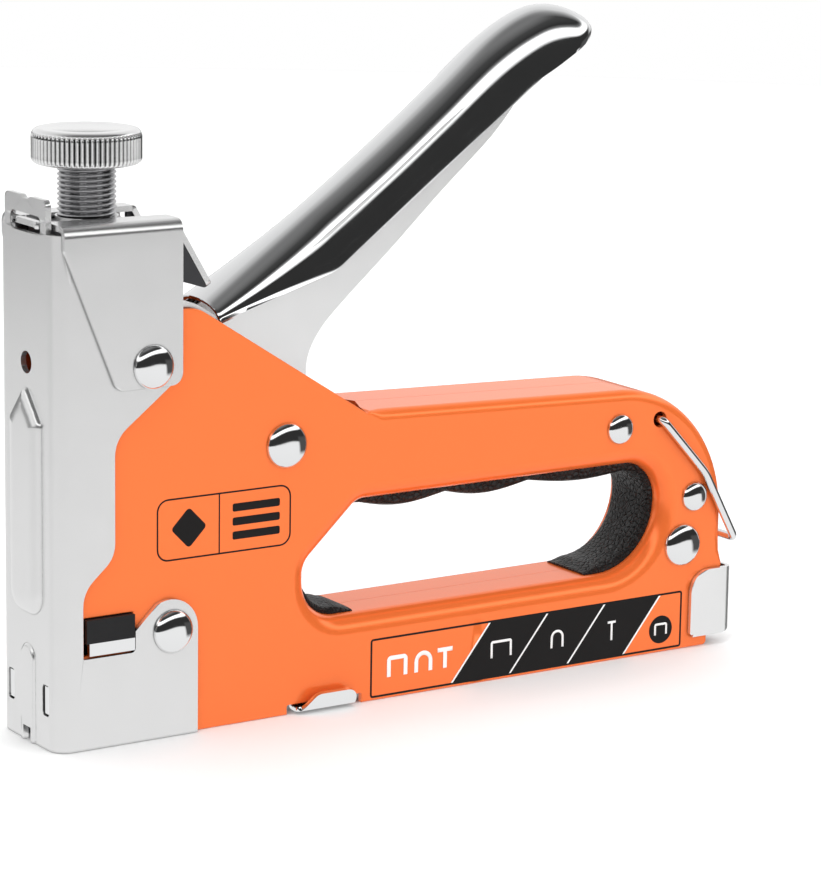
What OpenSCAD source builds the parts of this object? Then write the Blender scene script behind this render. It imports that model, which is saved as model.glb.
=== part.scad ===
// Heavy-duty hand staple gun: two pressed body shells, a sheet-metal nose, a
// bracket that carries the power screw, a spring-driven hammer and blade, a
// squeeze lever, and a bottom-loading magazine that slides out to the rear.
//
// Frame: millimetres, +Z up. x = 0 is the outer face of the nose's front
// plate and +X runs to the rear, y = 0 is the middle plane between the two
// shells, z = 0 is the foot of the nose that presses on the work.

/* [Body] */
// Length of the body from the nose's front face to the rear edge
body_len = 169.4; // [147:0.2:205]
// Half of the width over the two body shells
body_half = 11.2; // [9.2:0.1:13.6]
// Thickness of the body sheet
shell_wall = 1.2; // [0.8:0.1:1.6]
// Height of the handle's top surface at its rear end
handle_h = 60.8; // [52:0.2:73]
// Height of the shells where they stand under the bracket
shoulder_h = 88.4; // [84:0.2:92]
// Place along the body where the handle's top meets the sloping shoulder
slope_foot_x = 74.5; // [70:0.5:80]

/* [Hand opening] */
// Depth of metal above the opening
bar_top_h = 17.1; // [13:0.1:18]
// Height of the bar under the opening
bar_low_h = 19.1; // [19.1:0.1:23]
// Distance from the rear edge to the opening's rear end
rear_wall = 16.9; // [15:0.1:21]
// How far the grip's edges lie inside the body's sides, where the opening's edge is folded in
grip_recess = 4; // [3:0.1:5]
// Thickness of the rubber grip in the opening
grip_t = 1.6; // [1:0.1:2.4]
// How far the finger bumps stand below the grip's top run
grip_bump = 1.9; // [0.5:0.1:2.5]

/* [Nose] */
// Height of the nose cover
nose_h = 105.3; // [100:0.1:112]
// Thickness of the nose and bracket sheet
nose_wall = 1.2; // [0.8:0.1:1.6]
// Depth of the nose cover's side wings at the foot
wing_len = 32.5; // [30:0.5:36]
// Height of the tab that stands above the nose cover
nose_tab_h = 6.7; // [4:0.1:8]
// Outer radius of the folds beside the front plate
nose_fold_r = 3.5; // [2.6:0.1:4.5]
// Height of the pressed rib on the front plate
rib_out = 1.5; // [0.5:0.1:2]

/* [Bracket] */
// Depth of the bracket's ears from front to rear
bracket_len = 28.2; // [26:0.1:32]
// Height of the lower edge of the bracket's ears
ear_low_z = 73.6; // [72:0.1:76]

/* [Lever] */
// Height of the lever pivot
pivot_z = 57.9; // [55:0.1:62]
// Distance of the lever pivot behind the nose's front face
pivot_x = 54.1; // [51:0.1:58]
// Distance from the pivot to the lifter pin
lifter_r = 35; // [33:0.1:36]
// How far the lifter arm hangs below level at rest, in degrees
lifter_drop = 18; // [14:0.5:20]
// Gap between the lever's cover and the inside of each shell
lever_gap = 1.4; // [0.8:0.1:2]
// Thickness of the lever's chromed cover
cover_wall = 1.2; // [0.8:0.1:1.6]
// Thickness of each cheek of the lever's inner arm
cheek_t = 1.5; // [1:0.1:2]

/* [Driver] */
// How much narrower than the channel the blade is, on each side
blade_inset = 0.3; // [0.1:0.1:1.1]
// Thickness of the driver blade
blade_t = 1.2; // [0.8:0.1:1.4]
// Mean radius of the main spring
spring_r = 5.8; // [4.8:0.1:6]
// Wire thickness of the main spring
spring_wire = 2; // [1.6:0.1:2.2]
// Turns of the main spring
spring_turns = 6; // [5:1:8]

/* [Power screw] */
// Radius of the knurled knob
knob_r = 11.1; // [9.5:0.1:12]
// Height of the knurled knob
knob_h = 7.2; // [5.5:0.1:9]
// Radius of the threaded shank
screw_r = 5.95; // [5:0.05:6.5]
// Height of the knob's underside above the foot
knob_z = 117.5; // [114:0.1:121]

/* [Magazine] */
// Half of the inside width of the channel that holds the staples
channel_half = 5.5; // [5.3:0.1:5.8]
// Height of the magazine channel's roof
channel_h = 17.8; // [16.5:0.1:18.2]
// Thickness of the channel and rail sheet
mag_wall = 0.8; // [0.6:0.1:0.9]
// Gap between the rail and each side of the channel, which a staple's leg fills
rail_gap = 1.1; // [1.1:0.1:1.3]
// Length of the pusher
pusher_len = 20; // [14:1:30]
// Radius of the pusher's guide rod
rod_r = 1.2; // [0.9:0.1:1.4]

/* [Latch and bail] */
// Length of each release tab along the body
latch_len = 14; // [10:0.5:16]
// How far each release tab presses in
latch_press = 0.9; // [0.6:0.1:0.9]
// Radius of the bail's wire
wire_r = 0.9; // [0.7:0.05:1.1]
// Length of the bail from its pivot to its crossbar
bail_len = 36; // [35:0.5:38]

/* [Rivets] */
// Head radius of the large rivets
head_big = 4.8; // [4.3:0.1:5]
// Head radius of the small rivets
head_small = 3.4; // [2.8:0.1:3.6]
// Height of a large rivet's head
head_h = 2; // [1.4:0.1:2.4]

/* [Fits] */
// Running gap between a pin and its bore
run_gap = 0.08; // [0.05:0.01:0.1]
// Gap between flat sliding faces
slide_gap = 0.15; // [0.1:0.05:0.3]

/* [Hidden] */
$fn = 64;

orange = [1.0, 0.42, 0.16];
zinc = [0.80, 0.81, 0.82];
chrome = [0.88, 0.89, 0.90];
steel = [0.55, 0.56, 0.58];
rubber = [0.09, 0.09, 0.09];

// Stack of sheets across the width, from the middle plane outwards
shell_in = body_half - shell_wall;
nose_in = body_half;
nose_half = nose_in + nose_wall;
ear_in = nose_half;
ear_half = ear_in + nose_wall;
seam_gap = 0.05;

// Rear end of the body
rear_ax = 29.4;
rear_cx = body_len - rear_ax;
rear_cz = 30;
tail_x = body_len - 3.6;
tail_step_z = channel_h + 0.7;

// Hand opening
open_top = handle_h - bar_top_h;
open_rear = body_len - rear_wall;
open_front = 59.8;
front_lobe_r = 8.7;
grip_end_front = open_front + 13.3;
grip_end_rear = open_rear - 18.8;
grip_half = body_half - grip_recess;

// Shell windows and holes
shell_front = 3.7;
window_x0 = 6.8;
window_x1 = 18;
window_z0 = 19.3;
bumper_h = 27;
notch_x0 = 54.8;
notch_x1 = 73.3;
notch_h = 2;

// Rivet places [x, z]
bracket_rivet_at = [21.4, 77.8];
nose_rivet_at = [26.6, 22.3];
handle_rivet_at = [body_len - 29.6, handle_h - 8.4];
rear_small_at = [body_len - 8.4, 34.9];
rear_large_at = [body_len - 11.4, 24.1];
bail_at = [body_len - 18.6, handle_h - 7.3];
axle_r = 3;
big_shank_r = 2;
small_shank_r = 1.6;
bail_hole_r = 1.6;

// Lever
cover_half = shell_in - lever_gap;
arm_half = cover_half - cover_wall - 0.1;
arm_in = arm_half - cheek_t;
lifter_x = pivot_x - lifter_r * cos(lifter_drop);
lifter_z = pivot_z - lifter_r * sin(lifter_drop);
lifter_pin_r = 2.2;
cover_front_x = 38.5;

// Driver
blade_half = channel_half - blade_inset;
blade_x0 = nose_wall + slide_gap;
blade_x1 = blade_x0 + blade_t;
blade_rivet_r = 1.5;
blade_rivet_end = 9;
hammer_half = arm_in - 0.8;
hammer_z0 = bumper_h + 0.2;
cup_z = lifter_z + 5.4;
cup_t = 1.5;
blade_rivet_z = [hammer_z0 + 6, cup_z - 8];
pin_gap = 0.3;
seat_z = knob_z - 22.5;
seat_t = 2.5;
screw_low_z = seat_z + seat_t;
nut_z0 = screw_low_z + 2.3;
bracket_z = nose_h + 0.7;
bracket_top = bracket_z + nose_wall;
screw_x = 13.8;

// Magazine
rail_half = channel_half - rail_gap;
rail_z0 = 3;
rail_top = channel_h - 2.6;
channel_x0 = blade_x1 + slide_gap;
channel_x1 = body_len - 9.4;
cap_x0 = body_len - 9.1;
cap_x1 = body_len + 2.6;
cap_wall = 1;
cap_in = body_half + slide_gap;
cap_half = cap_in + cap_wall;
cap_h = channel_h;
rod_z = 8;
pusher_x = 3.8;

// Latch: what is left between channel and shell is shared by the leaf's rise and the outer gap
latch_x = 56.6;
latch_t = 1;
leaf_t = 0.4;
press_gap = 0.2;
latch_room = shell_in - channel_half - mag_wall - leaf_t - latch_press - press_gap - latch_t;
leaf_rise = latch_room / 2;
latch_leg_in = shell_in - latch_room / 2 - latch_t;

function xz(p) = [p[0], p[1]];
function unit(v) = v / norm(v);

// Points on an elliptical arc about c, both end points included
function arc(c, rx, rz, a0, a1, n = 12) =
    [for (i = [0:n]) let (a = a0 + (a1 - a0) * i / n) [c[0] + rx * cos(a), c[1] + rz * sin(a)]];

// Closed outline from corners [x, z, r], each corner rounded to its radius r
function rounded(p, n = 6) = [for (i = [0:len(p) - 1])
    let (b = p[i], r = b[2] == undef ? 0 : b[2],
         u = unit(xz(p[(i + len(p) - 1) % len(p)]) - xz(b)),
         v = unit(xz(p[(i + 1) % len(p)]) - xz(b)),
         half = acos(u * v) / 2,
         c = xz(b) + unit(u + v) * r / sin(half),
         s = xz(b) + u * r / tan(half) - c, e = xz(b) + v * r / tan(half) - c,
         a0 = atan2(s[1], s[0]), turn = (atan2(e[1], e[0]) - a0 + 540) % 360 - 180)
    each r <= 0 ? [xz(b)] : arc(c, r, r, a0, a0 + turn, n)];

// Outline moved inwards by d, for points that run counter-clockwise
function inset(p, d) = [for (i = [0:len(p) - 1])
    let (a = p[(i + len(p) - 1) % len(p)], b = p[i], c = p[(i + 1) % len(p)],
         n1 = unit([a[1] - b[1], b[0] - a[0]]), n2 = unit([b[1] - c[1], c[0] - b[0]]))
    b + d * (n1 + n2) / (1 + n1 * n2)];

// Smooth open curve through hand-set points
function smooth(p, n = 4) = [for (i = [0:len(p) - 2], k = [0:n - 1])
    let (a = p[max(i - 1, 0)], b = p[i], c = p[i + 1], d = p[min(i + 2, len(p) - 1)], t = k / n)
    0.5 * (2 * b + (c - a) * t + (2 * a - 5 * b + 4 * c - d) * t * t
           + (3 * b - a - 3 * c + d) * t * t * t), p[len(p) - 1]];

// A flat plate with an outline in X and Z, from y0 to y1
module plate(y0, y1) {
    rotate([90, 0, 0]) translate([0, 0, -y1]) linear_extrude(y1 - y0) children();
}

// A straight bar across the width
module cross_bar(at, r, y0, y1) {
    translate([at[0], y1, at[1]]) rotate([90, 0, 0]) cylinder(h = y1 - y0, r = r);
}

module both_sides() {
    children();
    mirror([0, 1, 0]) children();
}

// A round bar from point a to point b
module rod(a, b, r) {
    d = b - a;
    translate(a) rotate([0, acos(d[2] / norm(d)), atan2(d[1], d[0])]) cylinder(h = norm(d), r = r);
}

// A low domed head on the outside of a face at y = face, pointing to -Y
module dome(at, r, h, face) {
    ball = (r * r + h * h) / (2 * h);
    translate([at[0], -face, at[1]]) rotate([90, 0, 0]) rotate_extrude()
        polygon(concat([[0, 0]], arc([0, h - ball], ball, ball, asin((ball - h) / ball), 90, 8)));
}

// A rivet right through the body: a shank and a domed head on each side
module through_rivet(at, head_r, high, shank_r, face) {
    color(chrome) {
        cross_bar(at, shank_r, -face - 0.3, face + 0.3);
        both_sides() dome(at, head_r, high, face);
    }
}

// A tube that holds the shells apart around a rivet
module spacer(at, shank_r, half) {
    color(steel) difference() {
        cross_bar(at, shank_r + 1.6, -half, half);
        cross_bar(at, shank_r + run_gap, -half - 1, half + 1);
    }
}

// Helical wire along +Z between z = 0 and z = high
module coil(r, wire, high, turns, steps, sides) {
    rings = turns * steps;
    points = [for (i = [0:rings], k = [0:sides - 1])
        let (a = 360 * i / steps, b = 360 * k / sides, w = r + wire / 2 * cos(b))
        [w * cos(a), w * sin(a), wire / 2 + (high - wire) * i / rings + wire / 2 * sin(b)]];
    skin = [for (i = [0:rings - 1], k = [0:sides - 1])
        let (q = (k + 1) % sides, a = i * sides, b = a + sides)
        each [[a + k, b + k, b + q], [a + k, b + q, a + q]]];
    polyhedron(points, concat(skin, [[for (k = [0:sides - 1]) k],
        [for (k = [sides - 1:-1:0]) rings * sides + k]]), convexity = 10);
}

// ---- Outlines of the body ----

function body_outline() = concat(
    rounded([[shell_front, 0], [tail_x, 0, 1], [tail_x, 2.6], [body_len, tail_step_z]]),
    arc([rear_cx, rear_cz], rear_ax, handle_h - rear_cz, 0, 90, 16),
    rounded([[slope_foot_x, handle_h + 2.2], [slope_foot_x - 0.2, handle_h + 1.6],
             [33, shoulder_h, 7], [shell_front, shoulder_h]]));

function opening_outline() = rounded([
    [open_front, bar_low_h, front_lobe_r], [open_rear, bar_low_h, 0.62 * (open_top - bar_low_h)],
    [open_rear, open_top, 0.36 * (open_top - bar_low_h)],
    [open_front + 13.2, open_top, 5], [open_front, open_top - 12.2, 5]], 10);

module body_shell() {
    outline = body_outline();
    color(orange) difference() {
        union() {
            plate(-body_half, -shell_in) polygon(outline);
            intersection() {
                plate(-body_half + 0.1, -seam_gap) difference() {
                    polygon(outline);
                    polygon(inset(outline, shell_wall));
                }
                translate([slope_foot_x + 0.4, -body_half, tail_step_z])
                    cube([body_len, body_half, handle_h]);
            }
            plate(-body_half + 0.1, -seam_gap) polygon(inset(opening_outline(), -shell_wall));
        }
        plate(-body_half - 1, 1) polygon(opening_outline());
        translate([window_x0, -body_half - 1, window_z0])
            cube([window_x1 - window_x0, shell_wall + 2, bumper_h + 0.2 - window_z0]);
        translate([notch_x0, -body_half - 1, -1])
            cube([notch_x1 - notch_x0, shell_wall + 2, notch_h + 1]);
        cross_bar([pivot_x, pivot_z], axle_r, -body_half - 1, 0);
        cross_bar(bracket_rivet_at, big_shank_r, -body_half - 1, 0);
        cross_bar(nose_rivet_at, big_shank_r, -body_half - 1, 0);
        cross_bar(handle_rivet_at, small_shank_r, -body_half - 1, 0);
        cross_bar(rear_small_at, small_shank_r, -body_half - 1, 0);
        cross_bar(rear_large_at, big_shank_r, -body_half - 1, 0);
        cross_bar(bail_at, bail_hole_r, -body_half - 1, 0);
    }
}

module left_shell() { body_shell(); }

module right_shell() { mirror([0, 1, 0]) body_shell(); }

// Rubber lining: a band on the opening's wall with three finger bumps above
module hand_grip() {
    path = opening_outline();
    bumps = 3;
    bump_x0 = 75.6;
    bump_len = (open_rear - 12 - bump_x0) / bumps;
    color(rubber) {
        plate(-grip_half, grip_half) difference() {
            polygon(inset(path, 0.02));
            polygon(inset(path, grip_t));
            translate([grip_end_front, bar_low_h - 1])
                square([grip_end_rear - grip_end_front, grip_t + 2]);
        }
        for (i = [0:bumps - 1]) plate(-grip_half, grip_half) polygon(
            [for (k = [0:12]) [bump_x0 + bump_len * (i + k / 12),
                open_top - grip_t + 0.3 - (grip_bump + 0.3) * sin(15 * k)]]);
    }
}

// ---- Nose ----

// Plan section of a folded sheet: a front wall and two side walls
module folded_sheet(front, depth, half, wall, fold_r, low, high) {
    outer = rounded([[front, -half, fold_r], [front + depth, -half],
                     [front + depth, half], [front, half, fold_r]]);
    inner = rounded([[front + wall, wall - half, fold_r - wall], [front + depth + 1, wall - half],
                     [front + depth + 1, half - wall], [front + wall, half - wall, fold_r - wall]]);
    translate([0, 0, low]) linear_extrude(high - low) difference() {
        polygon(outer);
        polygon(inner);
    }
}

module wing_outline() {
    boss_r = 6.5;
    polygon(concat(
        [[-2, 0], [wing_len, 0]],
        arc([wing_len - boss_r, 22.5], boss_r, boss_r, 0, 118, 8),
        rounded([[window_x1, 23.4], [window_x1, 19, 1], [6, 19, 0.3], [6, 33, 7],
                 [13.3, 39.5, 6], [13.3, 63.5, 7], [27.2, 74.2], [27.2, nose_h], [-2, nose_h]])));
}

module nose_cover() {
    rib_half = 6.4;
    arch_half = 3.1;
    tab_half = 8.8;
    color(zinc) difference() {
        union() {
            intersection() {
                folded_sheet(0, wing_len, nose_half, nose_wall, nose_fold_r, 0, nose_h);
                plate(-nose_half - 1, nose_half + 1) wing_outline();
            }
            translate([0, -tab_half, nose_h - 0.5]) cube([nose_wall, 2 * tab_half, nose_tab_h + 0.5]);
            rotate([90, 0, -90]) translate([0, 0, -0.1]) linear_extrude(rib_out + 0.1)
                polygon(rounded([[-rib_half + 1, 28, 3], [rib_half - 1, 28, 3],
                                 [rib_half - 1, 68.5, 1], [0, 73, 1], [1 - rib_half, 68.5, 1]]));
            rotate([90, 0, -90]) translate([0, 0, -0.1]) linear_extrude(0.6)
                polygon(concat([[-arch_half, 0], [arch_half, 0]],
                               arc([0, 17.5], arch_half, arch_half, 0, 180, 10)));
        }
        translate([-3, -1.6, -1]) cube([6, 3.2, 4.1]);
        translate([-3, -6.4, nose_h - 0.6]) cube([6, 12.8, 3.8]);
        translate([-1, 0, 78.5]) rotate([0, 90, 0]) cylinder(h = 4, r = 2.3);
        both_sides() translate([-1, 6.3, 7]) cube([4, 2.8, 6.5]);
        cross_bar(nose_rivet_at, big_shank_r, -nose_half - 1, nose_half + 1);
        cross_bar(bracket_rivet_at, big_shank_r, -nose_half - 1, nose_half + 1);
    }
}

// Inverted steel saddle that stands around the channel's front end
module nose_guide() {
    long = 11.3;
    half = shell_in - 0.1;
    color(zinc) difference() {
        union() {
            translate([channel_x0, -half, 0]) cube([long, 2 * half, channel_h + 1.4]);
            both_sides() translate([0.3, 6.7, 7.4]) cube([channel_x0, 2, 5.7]);
        }
        translate([channel_x0 - 1, -channel_half - mag_wall - 0.05, -1])
            cube([long + 2, 2 * (channel_half + mag_wall + 0.05), channel_h + 1.05]);
    }
}

module bumper() {
    color(rubber) translate([window_x0 + 0.1, -nose_half + 0.1, window_z0 + 2.8])
        cube([window_x1 - window_x0 - 0.2, 2 * (nose_half - 0.1), bumper_h - window_z0 - 2.8]);
}

module bumper_saddle() {
    color(chrome) translate([window_x0 + 0.7, -nose_half + 0.1, window_z0 + 0.2])
        cube([window_x1 - window_x0 - 0.8, 2 * (nose_half - 0.1), 2.6]);
}

// ---- Bracket ----

module top_bracket() {
    fold_r = 2.4;
    ear_front = 13.4;
    tab_half = shell_in - 0.5;
    color(zinc) difference() {
        union() {
            intersection() {
                // Ears and top folded from one sheet, seen along X
                rotate([90, 0, 90]) linear_extrude(bracket_len) difference() {
                    polygon(rounded([[-ear_half, 0], [ear_half, 0],
                                     [ear_half, bracket_top, fold_r], [-ear_half, bracket_top, fold_r]]));
                    polygon(rounded([[-ear_in, -1], [ear_in, -1],
                                     [ear_in, bracket_z, fold_r - nose_wall],
                                     [-ear_in, bracket_z, fold_r - nose_wall]]));
                }
                plate(-ear_half - 1, ear_half + 1) polygon(rounded([
                    [ear_front, ear_low_z, 2], [bracket_len, ear_low_z, 2.5],
                    [bracket_len, bracket_top + 1], [1.7, bracket_top + 1], [1.7, nose_h - 3, 1]]));
            }
            // Tongue that hooks the nose cover's slot
            translate([-0.6, -5.8, bracket_z]) cube([3, 11.6, nose_wall]);
            // Sloping rear tab over the lever slot
            plate(-tab_half, tab_half) polygon([
                [bracket_len - 1, bracket_top], [bracket_len + 0.4, bracket_top],
                [37.2, 92.1], [36.2, 91.5], [bracket_len - 0.4, bracket_z], [bracket_len - 1, bracket_z]]);
        }
        translate([screw_x, 0, bracket_z - 1]) cylinder(h = nose_wall + 2, r = screw_r + 0.45);
        cross_bar(bracket_rivet_at, big_shank_r, -ear_half - 1, ear_half + 1);
    }
}

// Curved strip between the shells, behind the bracket's ears
module lever_slot_guard() {
    x0 = screw_x + 9;
    half = shell_in - 0.1;
    leg_z = 82;
    color(zinc) {
        plate(-half, half) polygon(concat(
            rounded([[x0, shoulder_h + 1.2], [x0, shoulder_h],
                     [32, shoulder_h, 6], [37.4, shoulder_h - 3.4]]),
            rounded([[38, shoulder_h - 2.4], [32.4, shoulder_h + 1.2, 7], [x0 + 0.1, shoulder_h + 1.2]])));
        both_sides() translate([x0, shell_in - 1.1, leg_z]) cube([8, 1, shoulder_h - leg_z + 0.2]);
    }
}

module screw_nut() {
    size_x = 17;
    half = body_half - 2.2;
    color(steel) difference() {
        translate([screw_x - size_x / 2, -half, nut_z0]) cube([size_x, 2 * half, bracket_z - nut_z0]);
        translate([screw_x, 0, nut_z0 - 1]) cylinder(h = bracket_z - nut_z0 + 2, r = screw_r + run_gap);
    }
}

// Short rivets, one each side, that hold ear, wing and shell together
module bracket_rivets() {
    color(chrome) both_sides() {
        cross_bar(bracket_rivet_at, big_shank_r, -ear_half - 0.3, -shell_in + 0.5);
        dome(bracket_rivet_at, head_big - 0.3, head_h, ear_half);
        cross_bar(bracket_rivet_at, big_shank_r + 0.8, -shell_in, -shell_in + 0.9);
    }
}

module nose_rivet() {
    through_rivet(nose_rivet_at, head_big - 0.3, head_h, big_shank_r, nose_half);
}

module lever_axle() {
    through_rivet([pivot_x, pivot_z], head_big, head_h, axle_r, body_half);
}

module handle_rivet() {
    through_rivet(handle_rivet_at, head_small, head_h - 0.4, small_shank_r, body_half);
}

module rear_rivet_small() {
    through_rivet(rear_small_at, head_small, head_h - 0.4, small_shank_r, body_half);
}

module rear_rivet_large() {
    through_rivet(rear_large_at, head_big, head_h, big_shank_r, body_half);
}

module nose_spacer() { spacer(nose_rivet_at, big_shank_r, shell_in); }

module axle_sleeve() {
    spacer([pivot_x, pivot_z], axle_r, arm_in - slide_gap);
}

module handle_spacer() { spacer(handle_rivet_at, small_shank_r, shell_in); }

module rear_spacer_small() { spacer(rear_small_at, small_shank_r, shell_in); }

module rear_spacer_large() { spacer(rear_large_at, big_shank_r, shell_in); }

// ---- Lever ----

// Top line of the chromed cover, from its front end to the palm's tip
function ridge() = smooth([
    [cover_front_x, 88.6], [50.3, 95.9], [63.7, 104.6], [80.7, 116.7], [94.5, 127.3],
    [108.4, 138.4], [118.7, 144], [126, 144.9], [133.2, 142.2], [135.4, 139.9]]);

// Lower edge of the cover's sides, from the palm's tip to the front end
function cover_edge() = concat(
    smooth([[133.8, 138.2], [127, 134.2], [120.5, 131]]),
    rounded([[119, 130.6], [71, 92.6, 6], [cover_front_x + 1.4, 84.6]]));

module lever_cover() {
    outer = concat(ridge(), cover_edge());
    hollow = concat([for (p = ridge()) p + [0.4, -1.2]], [[134, 136.5], [127, 129.6], [119, 126],
                    [74, 89.6], [cover_front_x, 80], [cover_front_x - 2, 82], [cover_front_x - 2, 87.2]]);
    color(chrome) difference() {
        plate(-cover_half, cover_half) polygon(outer);
        plate(cover_wall - cover_half, cover_half - cover_wall) polygon(hollow);
    }
}

function arm_outline() = concat(
    arc([lifter_x, lifter_z], 3.8, 3.8, 90 + lifter_drop, 270 + lifter_drop, 10),
    [for (a = [-95:22:-7]) [pivot_x + 8 * cos(a), pivot_z + 8 * sin(a)]],
    smooth([[61.2, 68], [61.3, 74.7], [64.2, 80.4], [69.5, 85.8], [82, 96.7], [94.1, 107.7],
            [106.8, 118.7], [114.3, 127.3], [118.5, 131.5]]),
    [[119, 136.6], [108.6, 131.4], [95, 121.8], [81, 111.2], [64, 99.1], [51, 90.6], [41.2, 84.8],
     [40.2, 80], [43, 70], [38, 62]]);

module lever_arm() {
    color(zinc) both_sides() difference() {
        plate(-arm_half, -arm_in) polygon(arm_outline());
        cross_bar([pivot_x, pivot_z], axle_r + run_gap, -arm_half - 1, -arm_in + 1);
        cross_bar([lifter_x, lifter_z], lifter_pin_r - 0.8, -arm_half - 1, -arm_in + 1);
    }
    color(zinc) plate(-arm_in - 0.1, arm_in + 0.1) polygon([
        [64, 97.9], [81, 110], [95, 120.6], [108.6, 130.2], [108.6, 131.4], [95, 121.8], [81, 111.2],
        [64, 99.1]]);
}

// Stepped pin between the cheeks that lifts the hammer
module lifter_pin() {
    color(steel) {
        cross_bar([lifter_x, lifter_z], lifter_pin_r, -arm_in, arm_in);
        cross_bar([lifter_x, lifter_z], lifter_pin_r - 0.8, -arm_half, arm_half);
    }
}

// ---- Driver ----

module hammer() {
    slot_half = lifter_pin_r + pin_gap;
    slot_x = pivot_x - lifter_r - slot_half;
    lip = 2.5;
    tip_x = lifter_x + 3.2;
    color(steel) difference() {
        plate(-hammer_half, hammer_half) polygon([
            [blade_x1, hammer_z0], [window_x1, hammer_z0], [window_x1, lifter_z - slot_half - lip - 4],
            [tip_x, lifter_z - slot_half - lip], [tip_x, lifter_z - slot_half],
            [slot_x, lifter_z - slot_half], [slot_x, lifter_z + slot_half],
            [tip_x, lifter_z + slot_half], [tip_x, cup_z], [blade_x1, cup_z]]);
        for (z = blade_rivet_z) translate([0, 0, z]) rotate([0, 90, 0])
            cylinder(h = blade_rivet_end, r = blade_rivet_r);
    }
}

module driver_blade() {
    color(steel) difference() {
        translate([blade_x0, -blade_half, 0.5]) cube([blade_t, 2 * blade_half, cup_z - 3]);
        for (z = blade_rivet_z) translate([0, 0, z]) rotate([0, 90, 0])
            cylinder(h = blade_rivet_end, r = blade_rivet_r);
    }
}

module blade_rivets() {
    color(chrome) for (z = blade_rivet_z) translate([blade_x0, 0, z])
        rotate([0, 90, 0]) cylinder(h = blade_rivet_end - blade_x0, r = blade_rivet_r);
}

module spring_cup() {
    r = spring_r + spring_wire / 2 + 1.2;
    color(steel) translate([screw_x, 0, cup_z]) difference() {
        cylinder(h = cup_t + 2, r = r);
        translate([0, 0, cup_t]) cylinder(h = 3, r = r - 0.9);
    }
}

module main_spring() {
    low = cup_z + cup_t;
    color(steel) translate([screw_x, 0, low])
        coil(spring_r, spring_wire, seat_z - low, spring_turns, 16, 8);
}

module spring_seat() {
    color(steel) translate([screw_x, 0, 0]) {
        translate([0, 0, seat_z]) cylinder(h = seat_t, r = spring_r + spring_wire / 2 + 1);
        translate([0, 0, seat_z - 3]) cylinder(h = 3.1, r = spring_r - spring_wire / 2 - 0.5);
    }
}

module power_screw() {
    color(steel) translate([screw_x, 0, screw_low_z]) cylinder(h = knob_z - screw_low_z, r = screw_r);
}

module power_knob() {
    rim = 1;
    color(chrome) translate([screw_x, 0, knob_z]) rotate_extrude() polygon(concat(
        [[0, 0], [knob_r - 1.6, 0]],
        arc([knob_r - rim, rim], rim, rim, -60, 0, 4),
        arc([knob_r - rim, knob_h - rim], rim, rim, 0, 90, 5),
        [[0, knob_h]]));
}

// ---- Magazine ----

// Sheet channel with a roof and two sides, open below
module open_channel(x0, x1, half, wall, low, high) {
    difference() {
        translate([x0, -half, low]) cube([x1 - x0, 2 * half, high - low]);
        translate([x0 - 1, wall - half, low - 1])
            cube([x1 - x0 + 2, 2 * (half - wall), high - low + 1 - wall]);
    }
}

module magazine_channel() {
    color(zinc) open_channel(channel_x0, channel_x1, channel_half + mag_wall, mag_wall, 1, channel_h);
}

module magazine_rail() {
    color(zinc) {
        open_channel(channel_x0 + 0.4, cap_x1 - cap_wall, rail_half, mag_wall, rail_z0, rail_top);
        translate([channel_x0 + 0.4, -rail_half + 0.1, rail_z0])
            cube([mag_wall, 2 * rail_half - 0.2, rail_top - rail_z0 - 0.1]);
    }
}

module end_cap() {
    color(zinc) difference() {
        intersection() {
            mirror([1, 0, 0]) folded_sheet(-cap_x1, cap_x1 - cap_x0, cap_half, cap_wall, 2, 2.5, cap_h);
            plate(-cap_half - 1, cap_half + 1) polygon(rounded([
                [cap_x0, 2.5, 0.6], [cap_x1 + 0.01, 2.5, 3], [cap_x1 + 0.01, cap_h], [cap_x0, cap_h, 5]]));
        }
        translate([cap_x1 - 3, 0, rod_z]) rotate([0, 90, 0]) cylinder(h = 5, r = rod_r);
    }
}

module guide_rod() {
    x0 = channel_x0 + 0.4 + mag_wall;
    color(steel) translate([x0, 0, rod_z]) rotate([0, 90, 0]) cylinder(h = cap_x1 - x0, r = rod_r);
}

// Saddle around the rail that pushes the staples forward
module pusher() {
    half = channel_half - slide_gap;
    leg_in = rail_half + slide_gap;
    low = 1.6;
    foot_t = 1;
    color(steel) difference() {
        union() {
            difference() {
                translate([pusher_x, -half, low]) cube([pusher_len, 2 * half, rail_top + 1.2 - low]);
                translate([pusher_x - 1, -leg_in, low + foot_t])
                    cube([pusher_len + 2, 2 * leg_in, rail_top + slide_gap - low - foot_t]);
            }
            translate([pusher_x + 5, mag_wall + slide_gap - rail_half, low])
                cube([pusher_len - 10, 2 * (rail_half - mag_wall - slide_gap), rod_z + 4 - low]);
        }
        translate([pusher_x - 1, 0, rod_z]) rotate([0, 90, 0])
            cylinder(h = pusher_len + 2, r = rod_r + run_gap);
    }
}

module pusher_spring() {
    x0 = pusher_x + pusher_len - 5 + 0.1;
    long = cap_x1 - cap_wall - 0.1 - x0;
    color(steel) translate([x0, 0, rod_z]) rotate([0, 90, 0]) coil(2.3, 0.7, long, 28, 9, 6);
}

// ---- Release tabs and their leaf springs ----

module release_latch() {
    lip = body_half + 1.4;
    color(chrome) rotate([90, 0, 90]) translate([0, 0, latch_x]) linear_extrude(latch_len)
        polygon([[-latch_leg_in, 9], [-latch_leg_in - latch_t, 9], [-latch_leg_in - latch_t, 1.1],
                 [-lip, 1.1], [-lip - 1.2, 4.4], [-lip - 2, 4.2], [-lip - 0.8, 0.1], [-latch_leg_in, 0.1]]);
}

module left_latch() { release_latch(); }

module right_latch() { mirror([0, 1, 0]) release_latch(); }

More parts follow.
